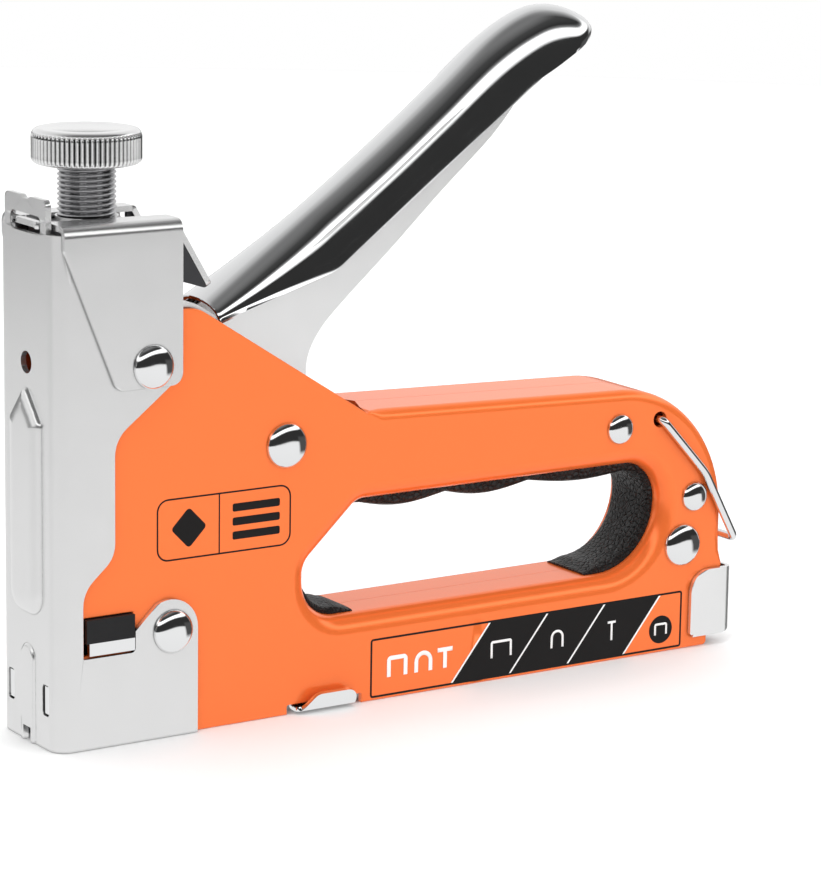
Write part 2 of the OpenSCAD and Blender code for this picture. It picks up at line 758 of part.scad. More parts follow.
module latch_leaf_springs() {
    out = channel_half + mag_wall;
    end = latch_x + latch_len;
    line = [[latch_x - 4, out], [latch_x - 1, out], [latch_x + 2, out + leaf_rise],
            [end - 2, out + leaf_rise], [end + 1, out], [end + 4, out]];
    color(steel) both_sides() translate([0, 0, 3.5]) linear_extrude(4)
        polygon(concat(line, [for (i = [len(line) - 1:-1:0]) line[i] + [0, leaf_t]]));
}

// ---- Wire bail ----

// Bail route in X and Z, measured from its pivot
bail_bends = [[0, 0], [7.3, -7.8], [12.3, -13.2], bail_len * [0.586, -0.81]];

module wire_bail() {
    y = body_half + 0.3 + wire_r;
    pts = [for (b = bail_bends) [bail_at[0] + b[0], -y, bail_at[1] + b[1]]];
    last = pts[len(pts) - 1];
    color(chrome) {
        both_sides() {
            for (i = [0:len(pts) - 2]) {
                rod(pts[i], pts[i + 1], wire_r);
                translate(pts[i]) sphere(r = wire_r + 0.03);
            }
            cross_bar(bail_at, wire_r, -y, 2 - shell_in);
            translate(last) sphere(r = wire_r + 0.03);
        }
        cross_bar([last[0], last[2]], wire_r, -y, y);
    }
}

left_shell();
right_shell();
nose_cover();
top_bracket();
lever_slot_guard();
nose_guide();
bumper();
bumper_saddle();
hand_grip();
magazine_channel();
screw_nut();
bracket_rivets();
nose_rivet();
lever_axle();
handle_rivet();
rear_rivet_small();
rear_rivet_large();
nose_spacer();
axle_sleeve();
handle_spacer();
rear_spacer_small();
rear_spacer_large();
latch_leaf_springs();
lever_cover();
lever_arm();
lifter_pin();
hammer();
driver_blade();
blade_rivets();
spring_cup();
main_spring();
spring_seat();
power_screw();
power_knob();
magazine_rail();
end_cap();
guide_rod();
pusher();
pusher_spring();
left_latch();
right_latch();
wire_bail();
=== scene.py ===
"""Looks of a hand staple gun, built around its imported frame.

Every size in this file is in millimetres, in the frame of the part: +X to the rear, +Y to the tool's
right, +Z up. MM turns millimetres into Blender's metres.
"""

import logging
import math
from dataclasses import dataclass, field
from enum import Enum
from typing import Callable, Iterable, Sequence

import bmesh
import bpy
import numpy as np
from mathutils import Matrix, Vector, geometry


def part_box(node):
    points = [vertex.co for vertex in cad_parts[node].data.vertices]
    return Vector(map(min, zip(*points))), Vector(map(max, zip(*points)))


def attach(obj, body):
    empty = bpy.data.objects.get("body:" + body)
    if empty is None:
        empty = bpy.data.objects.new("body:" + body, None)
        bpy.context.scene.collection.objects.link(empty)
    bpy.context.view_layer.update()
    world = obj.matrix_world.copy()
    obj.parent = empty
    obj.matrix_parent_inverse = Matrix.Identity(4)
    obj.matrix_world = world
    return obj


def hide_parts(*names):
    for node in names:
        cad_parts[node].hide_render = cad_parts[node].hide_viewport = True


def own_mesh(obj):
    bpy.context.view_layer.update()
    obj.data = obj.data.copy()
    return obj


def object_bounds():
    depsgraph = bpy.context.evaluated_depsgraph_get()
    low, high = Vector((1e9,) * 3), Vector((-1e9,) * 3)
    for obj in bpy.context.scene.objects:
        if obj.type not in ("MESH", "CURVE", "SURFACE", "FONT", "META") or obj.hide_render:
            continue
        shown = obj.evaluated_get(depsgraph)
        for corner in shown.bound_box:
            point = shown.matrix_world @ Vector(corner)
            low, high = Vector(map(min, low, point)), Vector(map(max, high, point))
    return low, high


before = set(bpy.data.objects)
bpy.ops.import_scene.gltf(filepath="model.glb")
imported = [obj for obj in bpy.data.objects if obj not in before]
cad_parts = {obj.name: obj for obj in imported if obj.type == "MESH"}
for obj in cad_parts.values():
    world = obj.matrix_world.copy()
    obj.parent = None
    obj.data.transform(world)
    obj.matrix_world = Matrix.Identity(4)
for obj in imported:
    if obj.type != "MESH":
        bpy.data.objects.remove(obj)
CAD_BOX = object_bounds()

MM = 0.001
FOLD_STEPS = 8
COIL_STEPS = 28
# How far the painted shade reaches out of a corner or crease, in millimetres.
PAINTED_SHADE_REACH = 0.9
WEAR_REACH = 0.35
LOG = logging.getLogger("staple_gun")

Point2 = tuple[float, float]
Point3 = tuple[float, float, float]
Loop = list[Point2]
Shade = Point3 | bpy.types.NodeSocket


# ---------------------------------------------------------------- plane geometry


def arc(centre: Point2, rx: float, rz: float, start: float, end: float, steps: int = 12) -> Loop:
    """Points on an elliptical arc.

    Args:
        centre: centre of the ellipse.
        rx: radius along the first axis.
        rz: radius along the second axis.
        start: first angle in degrees.
        end: last angle in degrees.
        steps: number of equal steps.

    Returns:
        The points, both ends included.
    """
    angles = [math.radians(start + (end - start) * i / steps) for i in range(steps + 1)]
    return [(centre[0] + rx * math.cos(a), centre[1] + rz * math.sin(a)) for a in angles]


def rounded(corners: Sequence[Sequence[float]], steps: int = 6) -> Loop:
    """Closed outline with round corners.

    Args:
        corners: corners as (x, z) or (x, z, radius).
        steps: steps in each round corner.

    Returns:
        The outline's points in the same order.
    """
    out: Loop = []
    for i, corner in enumerate(corners):
        here = Vector(corner[:2])
        radius = corner[2] if len(corner) > 2 else 0.0
        if radius <= 0:
            out.append(tuple(here))
            continue
        before = (Vector(corners[i - 1][:2]) - here).normalized()
        after = (Vector(corners[(i + 1) % len(corners)][:2]) - here).normalized()
        half = math.acos(max(-1.0, min(1.0, before.dot(after)))) / 2
        centre = here + (before + after).normalized() * radius / math.sin(half)
        first = here + before * radius / math.tan(half) - centre
        last = here + after * radius / math.tan(half) - centre
        start = math.degrees(math.atan2(first.y, first.x))
        turn = (math.degrees(math.atan2(last.y, last.x)) - start + 540) % 360 - 180
        out += arc(tuple(centre), radius, radius, start, start + turn, steps)
    return out


def smooth_line(points: Sequence[Point2], steps: int = 8) -> Loop:
    """Catmull-Rom curve through points, both ends included.

    Args:
        points: the points to pass through.
        steps: steps between two of them.

    Returns:
        The curve's points.
    """
    p = [Vector(q) for q in points]
    out: Loop = []
    for i in range(len(p) - 1):
        a, b, c, d = p[max(i - 1, 0)], p[i], p[i + 1], p[min(i + 2, len(p) - 1)]
        for k in range(steps):
            t = k / steps
            q = 0.5 * (2 * b + (c - a) * t + (2 * a - 5 * b + 4 * c - d) * t * t
                       + (3 * b - a - 3 * c + d) * t ** 3)
            out.append((q.x, q.y))
    return out + [tuple(p[-1])]


def even_line(points: Sequence[Point2], count: int) -> Loop:
    """An open line resampled to count + 1 points at equal distances along it.

    Args:
        points: the line's points.
        count: number of equal parts.

    Returns:
        The new points, both ends included.
    """
    p = np.array(points)
    along = np.concatenate([[0.0], np.cumsum(np.linalg.norm(np.diff(p, axis=0), axis=1))])
    at = np.linspace(0, along[-1], count + 1)
    return list(zip(np.interp(at, along, p[:, 0]), np.interp(at, along, p[:, 1])))


def split_long(loop: Sequence[Point2], step: float) -> Loop:
    """A closed loop with points added so that no edge is longer than step.

    Args:
        loop: the loop's points.
        step: longest edge allowed.

    Returns:
        The loop with the added points.
    """
    out: Loop = []
    for i, a in enumerate(loop):
        b = loop[(i + 1) % len(loop)]
        parts = max(1, math.ceil(math.dist(a, b) / step))
        out += [(a[0] + (b[0] - a[0]) * k / parts, a[1] + (b[1] - a[1]) * k / parts)
                for k in range(parts)]
    return out


def inset(loop: Sequence[Point2], distance: float | Sequence[float]) -> Loop:
    """A closed loop moved to its left side, which is inwards if it runs counter-clockwise.

    Args:
        loop: the loop's points.
        distance: one distance, or one for each point.

    Returns:
        The moved points, in the same order.
    """
    p = np.array(loop)
    d = np.broadcast_to(np.asarray(distance, float), len(p))
    edge = np.roll(p, -1, axis=0) - p
    edge /= np.linalg.norm(edge, axis=1)[:, None]
    normal = np.stack([-edge[:, 1], edge[:, 0]], axis=1)
    before = np.roll(normal, 1, axis=0)
    mitre = (before + normal) / np.maximum(1 + (before * normal).sum(1), 0.35)[:, None]
    return [tuple(q) for q in p + mitre * d[:, None]]


def ring(centre: Point2, radius: float, steps: int = 32) -> Loop:
    """A closed circle, counter-clockwise."""
    return arc(centre, radius, radius, 0, 360 - 360 / steps, steps - 1)


def inside(points: np.ndarray, loops: Iterable[Sequence[Point2]]) -> np.ndarray:
    """Whether each point lies inside an odd number of the loops.

    Args:
        points: one row for each point.
        loops: closed loops, outlines and holes alike.

    Returns:
        One truth value for each point.
    """
    odd = np.zeros(len(points), bool)
    for loop in loops:
        a = np.array(loop)
        b = np.roll(a, -1, axis=0)
        for (ax, ay), (bx, by) in zip(a, b):
            crosses = (ay > points[:, 1]) != (by > points[:, 1])
            if crosses.any():
                at = ax + (points[:, 1] - ay) * (bx - ax) / ((by - ay) or 1e-12)
                odd ^= crosses & (points[:, 0] < at)
    return odd


def depth_in(point: Point2, loop: Sequence[Point2]) -> float:
    """How far a point lies inside a loop, or a negative distance outside it.

    Args:
        point: the point.
        loop: the closed loop.

    Returns:
        Its distance from the loop's nearest edge.
    """
    p, a = np.array(point), np.array(loop)
    edge = np.roll(a, -1, axis=0) - a
    t = np.clip(((p - a) * edge).sum(1) / np.maximum((edge ** 2).sum(1), 1e-12), 0, 1)
    near = float(np.linalg.norm(a + edge * t[:, None] - p, axis=1).min())
    return near if inside(p[None, :], [loop])[0] else -near


def ramp(value: float, low: float, high: float) -> float:
    """Smooth step from 0 at low to 1 at high."""
    t = max(0.0, min(1.0, (value - low) / (high - low)))
    return t * t * (3 - 2 * t)


def folded(along: float, flat: float, radius: float) -> Point2:
    """Where a point of a flat sheet comes to lie once the sheet is folded down by a right angle.

    Args:
        along: the point's distance from the sheet's middle, before the fold.
        flat: half of the width that stays flat.
        radius: outer radius of the fold.

    Returns:
        How far out and how far down the point lies.
    """
    if along <= flat:
        return (along, 0.0)
    turn = (along - flat) / radius
    if turn <= math.pi / 2:
        return (flat + radius * math.sin(turn), radius * (1 - math.cos(turn)))
    return (flat + radius, radius * (1 - math.pi / 2) + along - flat)


def fold_lines(flat: float, radius: float, low: float, high: float) -> list[Loop]:
    """Lines that the two folds of a sheet need in its mesh, as (distance from the middle, height).

    Args:
        flat: half of the width that stays flat.
        radius: outer radius of the folds.
        low: height where the lines start.
        high: height where they end.

    Returns:
        One line for each step round each fold.
    """
    bend = radius * math.pi / 2
    return [[(side * (flat + bend * k / FOLD_STEPS), low), (side * (flat + bend * k / FOLD_STEPS), high)]
            for side in (1, -1) for k in range(FOLD_STEPS + 1)]


# ---------------------------------------------------------------- meshes


@dataclass
class Form:
    """A growing mesh in millimetres."""

    points: list[Point3] = field(default_factory=list)
    faces: list[tuple[int, ...]] = field(default_factory=list)

    def add(self, points: Iterable[Sequence[float]], faces: Iterable[Sequence[int]]) -> "Form":
        """Adds points, and faces that count from the first of them.

        Args:
            points: the new points.
            faces: the new faces, by the numbers of those points.

        Returns:
            The form itself.
        """
        start = len(self.points)
        self.points += [tuple(p) for p in points]
        self.faces += [tuple(start + i for i in f) for f in faces]
        return self

    def grid(self, rows: Sequence[Sequence[Point3]], close_cols: bool = False,
             caps: bool = False) -> "Form":
        """Adds a grid of quads.

        Args:
            rows: rows of points, all of one length.
            close_cols: joins each row's last point to its first.
            caps: closes the first and the last row with one face each.

        Returns:
            The form itself.
        """
        high, wide = len(rows), len(rows[0])
        faces: list[tuple[int, ...]] = []
        for i in range(high - 1):
            for k in range(wide if close_cols else wide - 1):
                a, b = i * wide, (i + 1) * wide
                n = (k + 1) % wide
                faces.append((a + k, a + n, b + n, b + k))
        if caps:
            faces.append(tuple(range(wide - 1, -1, -1)))
            faces.append(tuple((high - 1) * wide + k for k in range(wide)))
        return self.add([p for row in rows for p in row], faces)

    def fill(self, loops: Sequence[Sequence[Point2]], place: Callable[[float, float], Point3],
             lines: Sequence[Sequence[Point2]] = (), dots: Sequence[Point2] = ()) -> "Form":
        """Adds a flat region as triangles and bends it to its place.

        Args:
            loops: outline and holes.
            place: turns a point of the flat region into a point in space.
            lines: open lines that edges must follow.
            dots: further points inside the region.

        Returns:
            The form itself.
        """
        flat, edges = [], []
        for loop in loops:
            n, start = len(loop), len(flat)
            edges += [(start + i, start + (i + 1) % n) for i in range(n)]
            flat += [Vector(p) for p in loop]
        for line in lines:
            start = len(flat)
            edges += [(start + i, start + i + 1) for i in range(len(line) - 1)]
            flat += [Vector(p) for p in line]
        flat += [Vector(p) for p in dots]
        points, _, faces = geometry.delaunay_2d_cdt(flat, edges, [], 0, 1e-5)[:3]
        spots = np.array([tuple(p) for p in points])
        faces = np.array(faces)
        kept = faces[inside(spots[faces].mean(axis=1), loops)]
        used = {int(i): n for n, i in enumerate(np.unique(kept))}
        return self.add([place(*spots[i]) for i in used], [[used[int(i)] for i in f] for f in kept])

    def mirrored(self) -> "Form":
        """The same form on the other side of the middle plane."""
        return Form([(x, -y, z) for x, y, z in self.points], [tuple(reversed(f)) for f in self.faces])

    def both(self) -> "Form":
        """This form and its mirror image together."""
        other = self.mirrored()
        return Form(list(self.points), list(self.faces)).add(other.points, other.faces)


def lathe(profile: Sequence[Point2], steps: int = 64,
          bulge: Callable[[float, float], float] | None = None) -> Form:
    """A turned solid about +Z.

    Args:
        profile: (radius, height) from one end of the axis to the other.
        steps: steps round the axis.
        bulge: gives what to add to the radius at (angle in turns, height).

    Returns:
        The form.
    """
    rows = []
    for radius, high in profile:
        row = []
        for k in range(steps):
            turn = k / steps
            r = radius + (bulge(turn, high) if bulge and radius > 0 else 0.0)
            row.append((r * math.cos(math.tau * turn), r * math.sin(math.tau * turn), high))
        rows.append(row)
    return Form().grid(rows, close_cols=True, caps=True)


def tube(route: Sequence[Point3], radius: float, sides: int = 14) -> Form:
    """A round wire along a route.

    Args:
        route: points along the wire's middle.
        radius: the wire's radius.
        sides: sides of its section.

    Returns:
        The form, closed at both ends.
    """
    p = [Vector(q) for q in route]
    ahead = [(p[min(i + 1, len(p) - 1)] - p[max(i - 1, 0)]).normalized() for i in range(len(p))]
    side = ahead[0].orthogonal().normalized()
    rows = []
    for at, way in zip(p, ahead):
        side = (side - way * side.dot(way)).normalized()
        other = way.cross(side)
        rows.append([tuple(at + radius * (side * math.cos(a) + other * math.sin(a)))
                     for a in (math.tau * k / sides for k in range(sides))])
    return Form().grid(rows, close_cols=True, caps=True)


def coil(centre: Point2, radius: float, wire: float, low: float, high: float, turns: float) -> Form:
    """A helical spring about +Z whose wire stays between low and high.

    Args:
        centre: the axis.
        radius: radius of the turns, to the wire's middle.
        wire: the wire's diameter.
        low: lowest height.
        high: highest height.
        turns: number of turns.

    Returns:
        The form.
    """
    count = int(turns * COIL_STEPS)
    rise = high - low - wire
    route = [(centre[0] + radius * math.cos(math.tau * turns * i / count),
              centre[1] + radius * math.sin(math.tau * turns * i / count),
              low + wire / 2 + rise * i / count) for i in range(count + 1)]
    return tube(route, wire / 2, 10)


# ---------------------------------------------------------------- finishes


class Grain(Enum):
    """The fine relief of a surface."""

    PEEL = "the soft waviness of sprayed paint"
    SATIN = "the fine blasted grain of zinc plate"
    MIRROR = "the faint waves of polished plate"
    MACHINED = "turning and grinding marks"
    LEATHER = "creased leather pattern moulded in rubber"
    PRINT = "a thin printed film"


@dataclass(frozen=True)
class Finish:
    """A surface finish and the node material that shows it."""

    name: str
    slot: str
    color: Point3
    grain: Grain
    roughness: float
    metallic: float = 0.0
    coat: float = 0.0
    vary: float = 0.06
    rough_vary: float = 0.08
    relief: float = 0.1
    wear: float = 0.0
    wear_color: Point3 = (0.8, 0.8, 0.8)
    gloss: float = 0.5
    # Strength of the painted shade that darkens corners, creases and gaps between parts.
    painted_shade: float = 0.0

    def material(self) -> bpy.types.Material:
        """The material of this finish, made once."""
        return bpy.data.materials.get(self.name) or self._make()

    def _make(self) -> bpy.types.Material:
        """Builds the node tree.

        Returns:
            The new material.
        """
        material = bpy.data.materials.new(self.name)
        material.use_nodes = True
        kit = Nodes(material.node_tree)
        shader = kit.tree.nodes["Principled BSDF"]
        shader.inputs["Metallic"].default_value = self.metallic
        shader.inputs["Coat Weight"].default_value = self.coat
        shader.inputs["Coat Roughness"].default_value = 0.06
        shader.inputs["IOR"].default_value = 1.5
        shader.inputs["Specular IOR Level"].default_value = self.gloss
        dark = tuple(c * (1 - self.vary) for c in self.color)
        light = tuple(min(1.0, c * (1 + self.vary)) for c in self.color)
        cloud = kit.noise(45, 4)
        shade = kit.mix(cloud, dark, light)
        if self.wear:
            worn = kit.edges(WEAR_REACH, kit.noise(700, 3))
            shade = kit.mix(kit.scale(worn, self.wear), shade, self.wear_color)
        # Painted shade: the colour darkens to a tenth of itself in corners, creases and gaps between parts,
        # where shade falls.
        if self.painted_shade:
            shade = kit.mix(kit.painted_shade_mask(PAINTED_SHADE_REACH, self.painted_shade), shade, tuple(c * 0.10 for c in self.color))
        kit.link(shade, shader.inputs["Base Color"])
        smear = kit.noise(130, 3)
        low, high = self.roughness - self.rough_vary, self.roughness + self.rough_vary
        kit.link(kit.span(smear, max(0.02, low), high), shader.inputs["Roughness"])
        kit.link(self._relief(kit), shader.inputs["Normal"])
        return material

    def _relief(self, kit: "Nodes") -> bpy.types.NodeSocket:
        """The bump of this finish's grain.

        Args:
            kit: node helper of the material.

        Returns:
            The normal socket.
        """
        if self.grain is Grain.PEEL:
            return kit.bump(kit.noise(620, 2), self.relief, 0.05)
        if self.grain is Grain.SATIN:
            return kit.bump(kit.noise(5200, 3), self.relief, 0.03)
        if self.grain is Grain.MIRROR:
            waves = kit.bump(kit.noise(320, 4), self.relief, 0.02)
            return kit.bump(kit.noise(3600, 2), self.relief, 0.012, waves)
        if self.grain is Grain.MACHINED:
            return kit.bump(kit.noise(2400, 3, stretch=(1, 1, 6)), self.relief, 0.03)
        if self.grain is Grain.LEATHER:
            return kit.bump(kit.cells(820), self.relief, 0.32, kit.bump(kit.noise(3600, 3), 0.4, 0.06))
        return kit.bump(kit.noise(1500, 2), self.relief, 0.01)


@dataclass
class Nodes:
    """Short forms of the nodes that the finishes use."""

    tree: bpy.types.NodeTree

    def new(self, kind: str) -> bpy.types.Node:
        """A new node of a kind."""
        return self.tree.nodes.new(kind)

    def link(self, source: bpy.types.NodeSocket, target: bpy.types.NodeSocket) -> None:
        """Joins two sockets."""
        self.tree.links.new(source, target)

    def place(self, stretch: Point3 = (1, 1, 1)) -> bpy.types.NodeSocket:
        """The point on the piece, in metres, scaled along each axis.

        Args:
            stretch: scale along each axis.

        Returns:
            The vector socket.
        """
        spot = self.new("ShaderNodeTexCoord")
        if stretch == (1, 1, 1):
            return spot.outputs["Object"]
        mapping = self.new("ShaderNodeMapping")
        mapping.inputs["Scale"].default_value = stretch
        self.link(spot.outputs["Object"], mapping.inputs["Vector"])
        return mapping.outputs["Vector"]

    def noise(self, scale: float, detail: float, stretch: Point3 = (1, 1, 1)) -> bpy.types.NodeSocket:
        """Fractal noise.

        Args:
            scale: features per metre.
            detail: number of octaves.
            stretch: scale along each axis.

        Returns:
            The factor socket.
        """
        node = self.new("ShaderNodeTexNoise")
        node.inputs["Scale"].default_value = scale
        node.inputs["Detail"].default_value = detail
        self.link(self.place(stretch), node.inputs["Vector"])
        return node.outputs["Fac"]

    def cells(self, scale: float) -> bpy.types.NodeSocket:
        """Height of rounded cells with creases between them.

        Args:
            scale: cells per metre.

        Returns:
            The height socket.
        """
        node = self.new("ShaderNodeTexVoronoi")
        node.feature = "DISTANCE_TO_EDGE"
        node.inputs["Scale"].default_value = scale
        self.link(self.place(), node.inputs["Vector"])
        return self.span(node.outputs["Distance"], 0.0, 1.0, 0.0, 0.22)

    def span(self, value: bpy.types.NodeSocket, low: float, high: float,
             start: float = 0.25, end: float = 0.75) -> bpy.types.NodeSocket:
        """The value from start to end stretched to run from low to high.

        Args:
            value: the socket to stretch.
            low: result at start.
            high: result at end.
            start: value that gives low.
            end: value that gives high.

        Returns:
            The result socket.
        """
        node = self.new("ShaderNodeMapRange")
        for name, number in (("From Min", start), ("From Max", end), ("To Min", low), ("To Max", high)):
            node.inputs[name].default_value = number
        self.link(value, node.inputs["Value"])
        return node.outputs["Result"]

    def scale(self, value: bpy.types.NodeSocket, by: float) -> bpy.types.NodeSocket:
        """The value times a number.

        Args:
            value: the socket.
            by: the number.

        Returns:
            The product socket.
        """
        node = self.new("ShaderNodeMath")
        node.operation = "MULTIPLY"
        node.inputs[1].default_value = by
        self.link(value, node.inputs[0])
        return node.outputs[0]

    def mix(self, share: bpy.types.NodeSocket, first: Shade, second: Shade) -> bpy.types.NodeSocket:
        """A colour that runs from first to second.

        Args:
            share: 0 for the first, 1 for the second.
            first: a colour or a colour socket.
            second: a colour or a colour socket.

        Returns:
            The colour socket.
        """
        node = self.new("ShaderNodeMix")
        node.data_type = "RGBA"
        self.link(share, node.inputs[0])
        for source, target in ((first, node.inputs[6]), (second, node.inputs[7])):
            if isinstance(source, tuple):
                target.default_value = (*source, 1)
            else:
                self.link(source, target)
        return node.outputs[2]

    def bump(self, height: bpy.types.NodeSocket, strength: float, distance: float,
             under: bpy.types.NodeSocket | None = None) -> bpy.types.NodeSocket:
        """A bumped normal.

        Args:
            height: the height from 0 to 1.
            strength: share of the bump that shows.
            distance: height of the bump in millimetres.
            under: a normal to bump further.

        Returns:
            The normal socket.
        """
        node = self.new("ShaderNodeBump")
        node.inputs["Strength"].default_value = strength
        node.inputs["Distance"].default_value = distance * MM
        self.link(height, node.inputs["Height"])
        if under:
            self.link(under, node.inputs["Normal"])
        return node.outputs["Normal"]

    def painted_shade_mask(self, reach: float, share: float) -> bpy.types.NodeSocket:
        """A mask of painted shade, which darkens the colour in corners, creases and gaps between parts, where
        shade falls.

        Args:
            reach: how far from a corner it acts, in millimetres.
            share: strength of the mask.

        Returns:
            The mask socket.
        """
        node = self.new("ShaderNodeAmbientOcclusion")
        node.samples = 6
        node.inputs["Distance"].default_value = reach * MM
        return self.span(node.outputs["AO"], share, 0.0, 0.30, 0.78)

    def edges(self, radius: float, broken: bpy.types.NodeSocket) -> bpy.types.NodeSocket:
        """A mask of outer edges, broken up by a noise.

        Args:
            radius: how far from an edge it acts, in millimetres.
            broken: the noise.

        Returns:
            The mask socket.
        """
        bevel = self.new("ShaderNodeBevel")
        bevel.samples = 4
        bevel.inputs["Radius"].default_value = radius * MM
        surface = self.new("ShaderNodeNewGeometry")
        dot = self.new("ShaderNodeVectorMath")
        dot.operation = "DOT_PRODUCT"
        self.link(bevel.outputs["Normal"], dot.inputs[0])
        self.link(surface.outputs["Normal"], dot.inputs[1])
        mask = self.span(dot.outputs["Value"], 1.0, 0.0, 0.80, 0.985)
        both = self.new("ShaderNodeMath")
        both.operation = "MULTIPLY"
        self.link(mask, both.inputs[0])
        self.link(self.span(broken, 0.2, 1.0, 0.4, 0.62), both.inputs[1])
        return both.outputs[0]


# Most finishes end with the strength of their painted shade in corners and creases.
PAINT = Finish("orange_paint", "orange_paint", (0.90, 0.143, 0.009), Grain.PEEL, 0.30, coat=0.30,
               vary=0.02, rough_vary=0.05, relief=0.09, wear=0.30, wear_color=(1.0, 0.32, 0.10),
               gloss=0.15, painted_shade=0.75)
SATIN = Finish("satin_zinc", "zinc", (0.84, 0.84, 0.84), Grain.SATIN, 0.24, metallic=0.92,
               vary=0.02, rough_vary=0.012, relief=0.34, wear=0.5, wear_color=(0.97, 0.97, 0.97),
               painted_shade=0.95)
PALE = Finish("pale_zinc", "zinc", (0.92, 0.92, 0.92), Grain.SATIN, 0.22, metallic=0.90,
              vary=0.015, rough_vary=0.012, relief=0.15, wear=0.1, wear_color=(0.97, 0.97, 0.97),
              painted_shade=0.9)
CHROME = Finish("bright_chrome", "chrome", (0.88, 0.885, 0.89), Grain.MIRROR, 0.07, metallic=1.0,
                vary=0.015, rough_vary=0.03, relief=0.10, painted_shade=0.9)
KNURLED = Finish("knurled_nickel", "chrome", (0.90, 0.90, 0.90), Grain.MIRROR, 0.14, metallic=1.0,
                 vary=0.03, rough_vary=0.03, relief=0.14, painted_shade=0.9)
THREAD = Finish("cut_thread_steel", "steel", (0.52, 0.52, 0.53), Grain.MACHINED, 0.20, metallic=1.0,
                vary=0.12, rough_vary=0.06, relief=0.25, painted_shade=0.95)
# Dark grey that stands for the shadow under the bracket's rear tab: painted shadow, not a steel finish.
PAINTED_SHADOW_STEEL = Finish("painted_shadow_steel", "steel", (0.10, 0.10, 0.105), Grain.MACHINED, 0.34, metallic=1.0,
                     vary=0.15, rough_vary=0.08, relief=0.25)
STEEL = Finish("bare_steel", "steel", (0.42, 0.42, 0.43), Grain.MACHINED, 0.34, metallic=1.0,
               vary=0.10, rough_vary=0.10, relief=0.30)
RUBBER = Finish("grained_rubber", "rubber", (0.010, 0.010, 0.010), Grain.LEATHER, 0.42,
                vary=0.30, rough_vary=0.10, relief=1.0, gloss=0.40)
BLOCK = Finish("moulded_rubber", "rubber", (0.014, 0.014, 0.015), Grain.PEEL, 0.45,
               vary=0.20, rough_vary=0.08, relief=0.35, gloss=0.25)
INK = Finish("black_print", "orange_paint", (0.010, 0.009, 0.009), Grain.PRINT, 0.40,
             vary=0.10, rough_vary=0.05, relief=0.05, gloss=0.18)
WHITE_INK = Finish("white_print", "orange_paint", (0.93, 0.93, 0.92), Grain.PRINT, 0.40,
                   vary=0.03, rough_vary=0.05, relief=0.05)


# ---------------------------------------------------------------- making pieces


def low_high(node: str) -> tuple[Vector, Vector]:
    """Lowest and highest corner of a node at rest, in millimetres."""
    low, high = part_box(node)
    return Vector(low) / MM, Vector(high) / MM


def make(name: str, form: Form, finish: Finish, body: str, stands_for: Sequence[str] = (),
         sharp: float = 38, weld: float = 0.002) -> bpy.types.Object:
    """Turns a form into a piece that rides on the frame.

    Args:
        name: the piece's name.
        form: its shape in millimetres.
        finish: its finish.
        body: the body that it rides on.
        stands_for: nodes that it replaces.
        sharp: edges that turn by more than this angle stay sharp.
        weld: points closer than this are joined.

    Returns:
        The new object.
    """
    mesh = bpy.data.meshes.new(name)
    mesh.from_pydata([Vector(p) * MM for p in form.points], [], form.faces)
    work = bmesh.new()
    work.from_mesh(mesh)
    bmesh.ops.remove_doubles(work, verts=work.verts, dist=weld * MM)
    bmesh.ops.recalc_face_normals(work, faces=work.faces)
    work.to_mesh(mesh)
    work.free()
    mesh.polygons.foreach_set("use_smooth", [True] * len(mesh.polygons))
    mesh.set_sharp_from_angle(angle=math.radians(sharp))
    mesh.materials.append(finish.material())
    piece = bpy.data.objects.new(name, mesh)
    bpy.context.scene.collection.objects.link(piece)
    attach(piece, body)
    if stands_for:
        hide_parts(*stands_for)
    LOG.info("%s: %d faces on %s", name, len(mesh.polygons), body)
    return piece


def sheet_edges(piece: bpy.types.Object, thickness: float = 0.0, rim: float = 0.0,
                steps: int = 2, limit: float = 50) -> None:
    """Gives a piece its sheet thickness and soft edges.

    Args:
        piece: the piece.
        thickness: thickness added behind its face.
        rim: radius of its edges.
        steps: steps in each rounded edge.
        limit: edges that turn by more than this angle are rounded.
    """
    if thickness:
        solid = piece.modifiers.new("thickness", "SOLIDIFY")
        solid.thickness = thickness * MM
        solid.offset = -1
        solid.use_even_offset = True
    if rim:
        bevel = piece.modifiers.new("rim", "BEVEL")
        bevel.width = rim * MM
        bevel.segments = steps
        bevel.limit_method = "ANGLE"
        bevel.angle_limit = math.radians(limit)
    weight = piece.modifiers.new("even_shading", "WEIGHTED_NORMAL")
    weight.keep_sharp = True
    weight.weight = 80


def face_out(piece: bpy.types.Object, seen_from: Point3) -> None:
    """Turns an open sheet's faces so that the face nearest a point looks towards it.

    Args:
        piece: the sheet.
        seen_from: the point, in millimetres.
    """
    mesh = piece.data
    eye = Vector(seen_from) * MM
    near = min(mesh.polygons, key=lambda f: (f.center - eye).length)
    if near.normal.dot(eye - near.center) < 0:
        mesh.flip_normals()


@dataclass
class Dresser:
    """Gives the carried nodes their finishes and soft edges."""

    finishes: dict[str, tuple[Finish, float]]

    def dress(self) -> None:
        """Sets each node's material and rounds its edges."""
        for node, (finish, rim) in self.finishes.items():
            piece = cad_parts[node]
            for slot in piece.material_slots:
                slot.material = finish.material()
            if rim:
                sheet_edges(piece, rim=rim)
            LOG.info("%s: carried over in %s", node, finish.name)


# ---------------------------------------------------------------- body


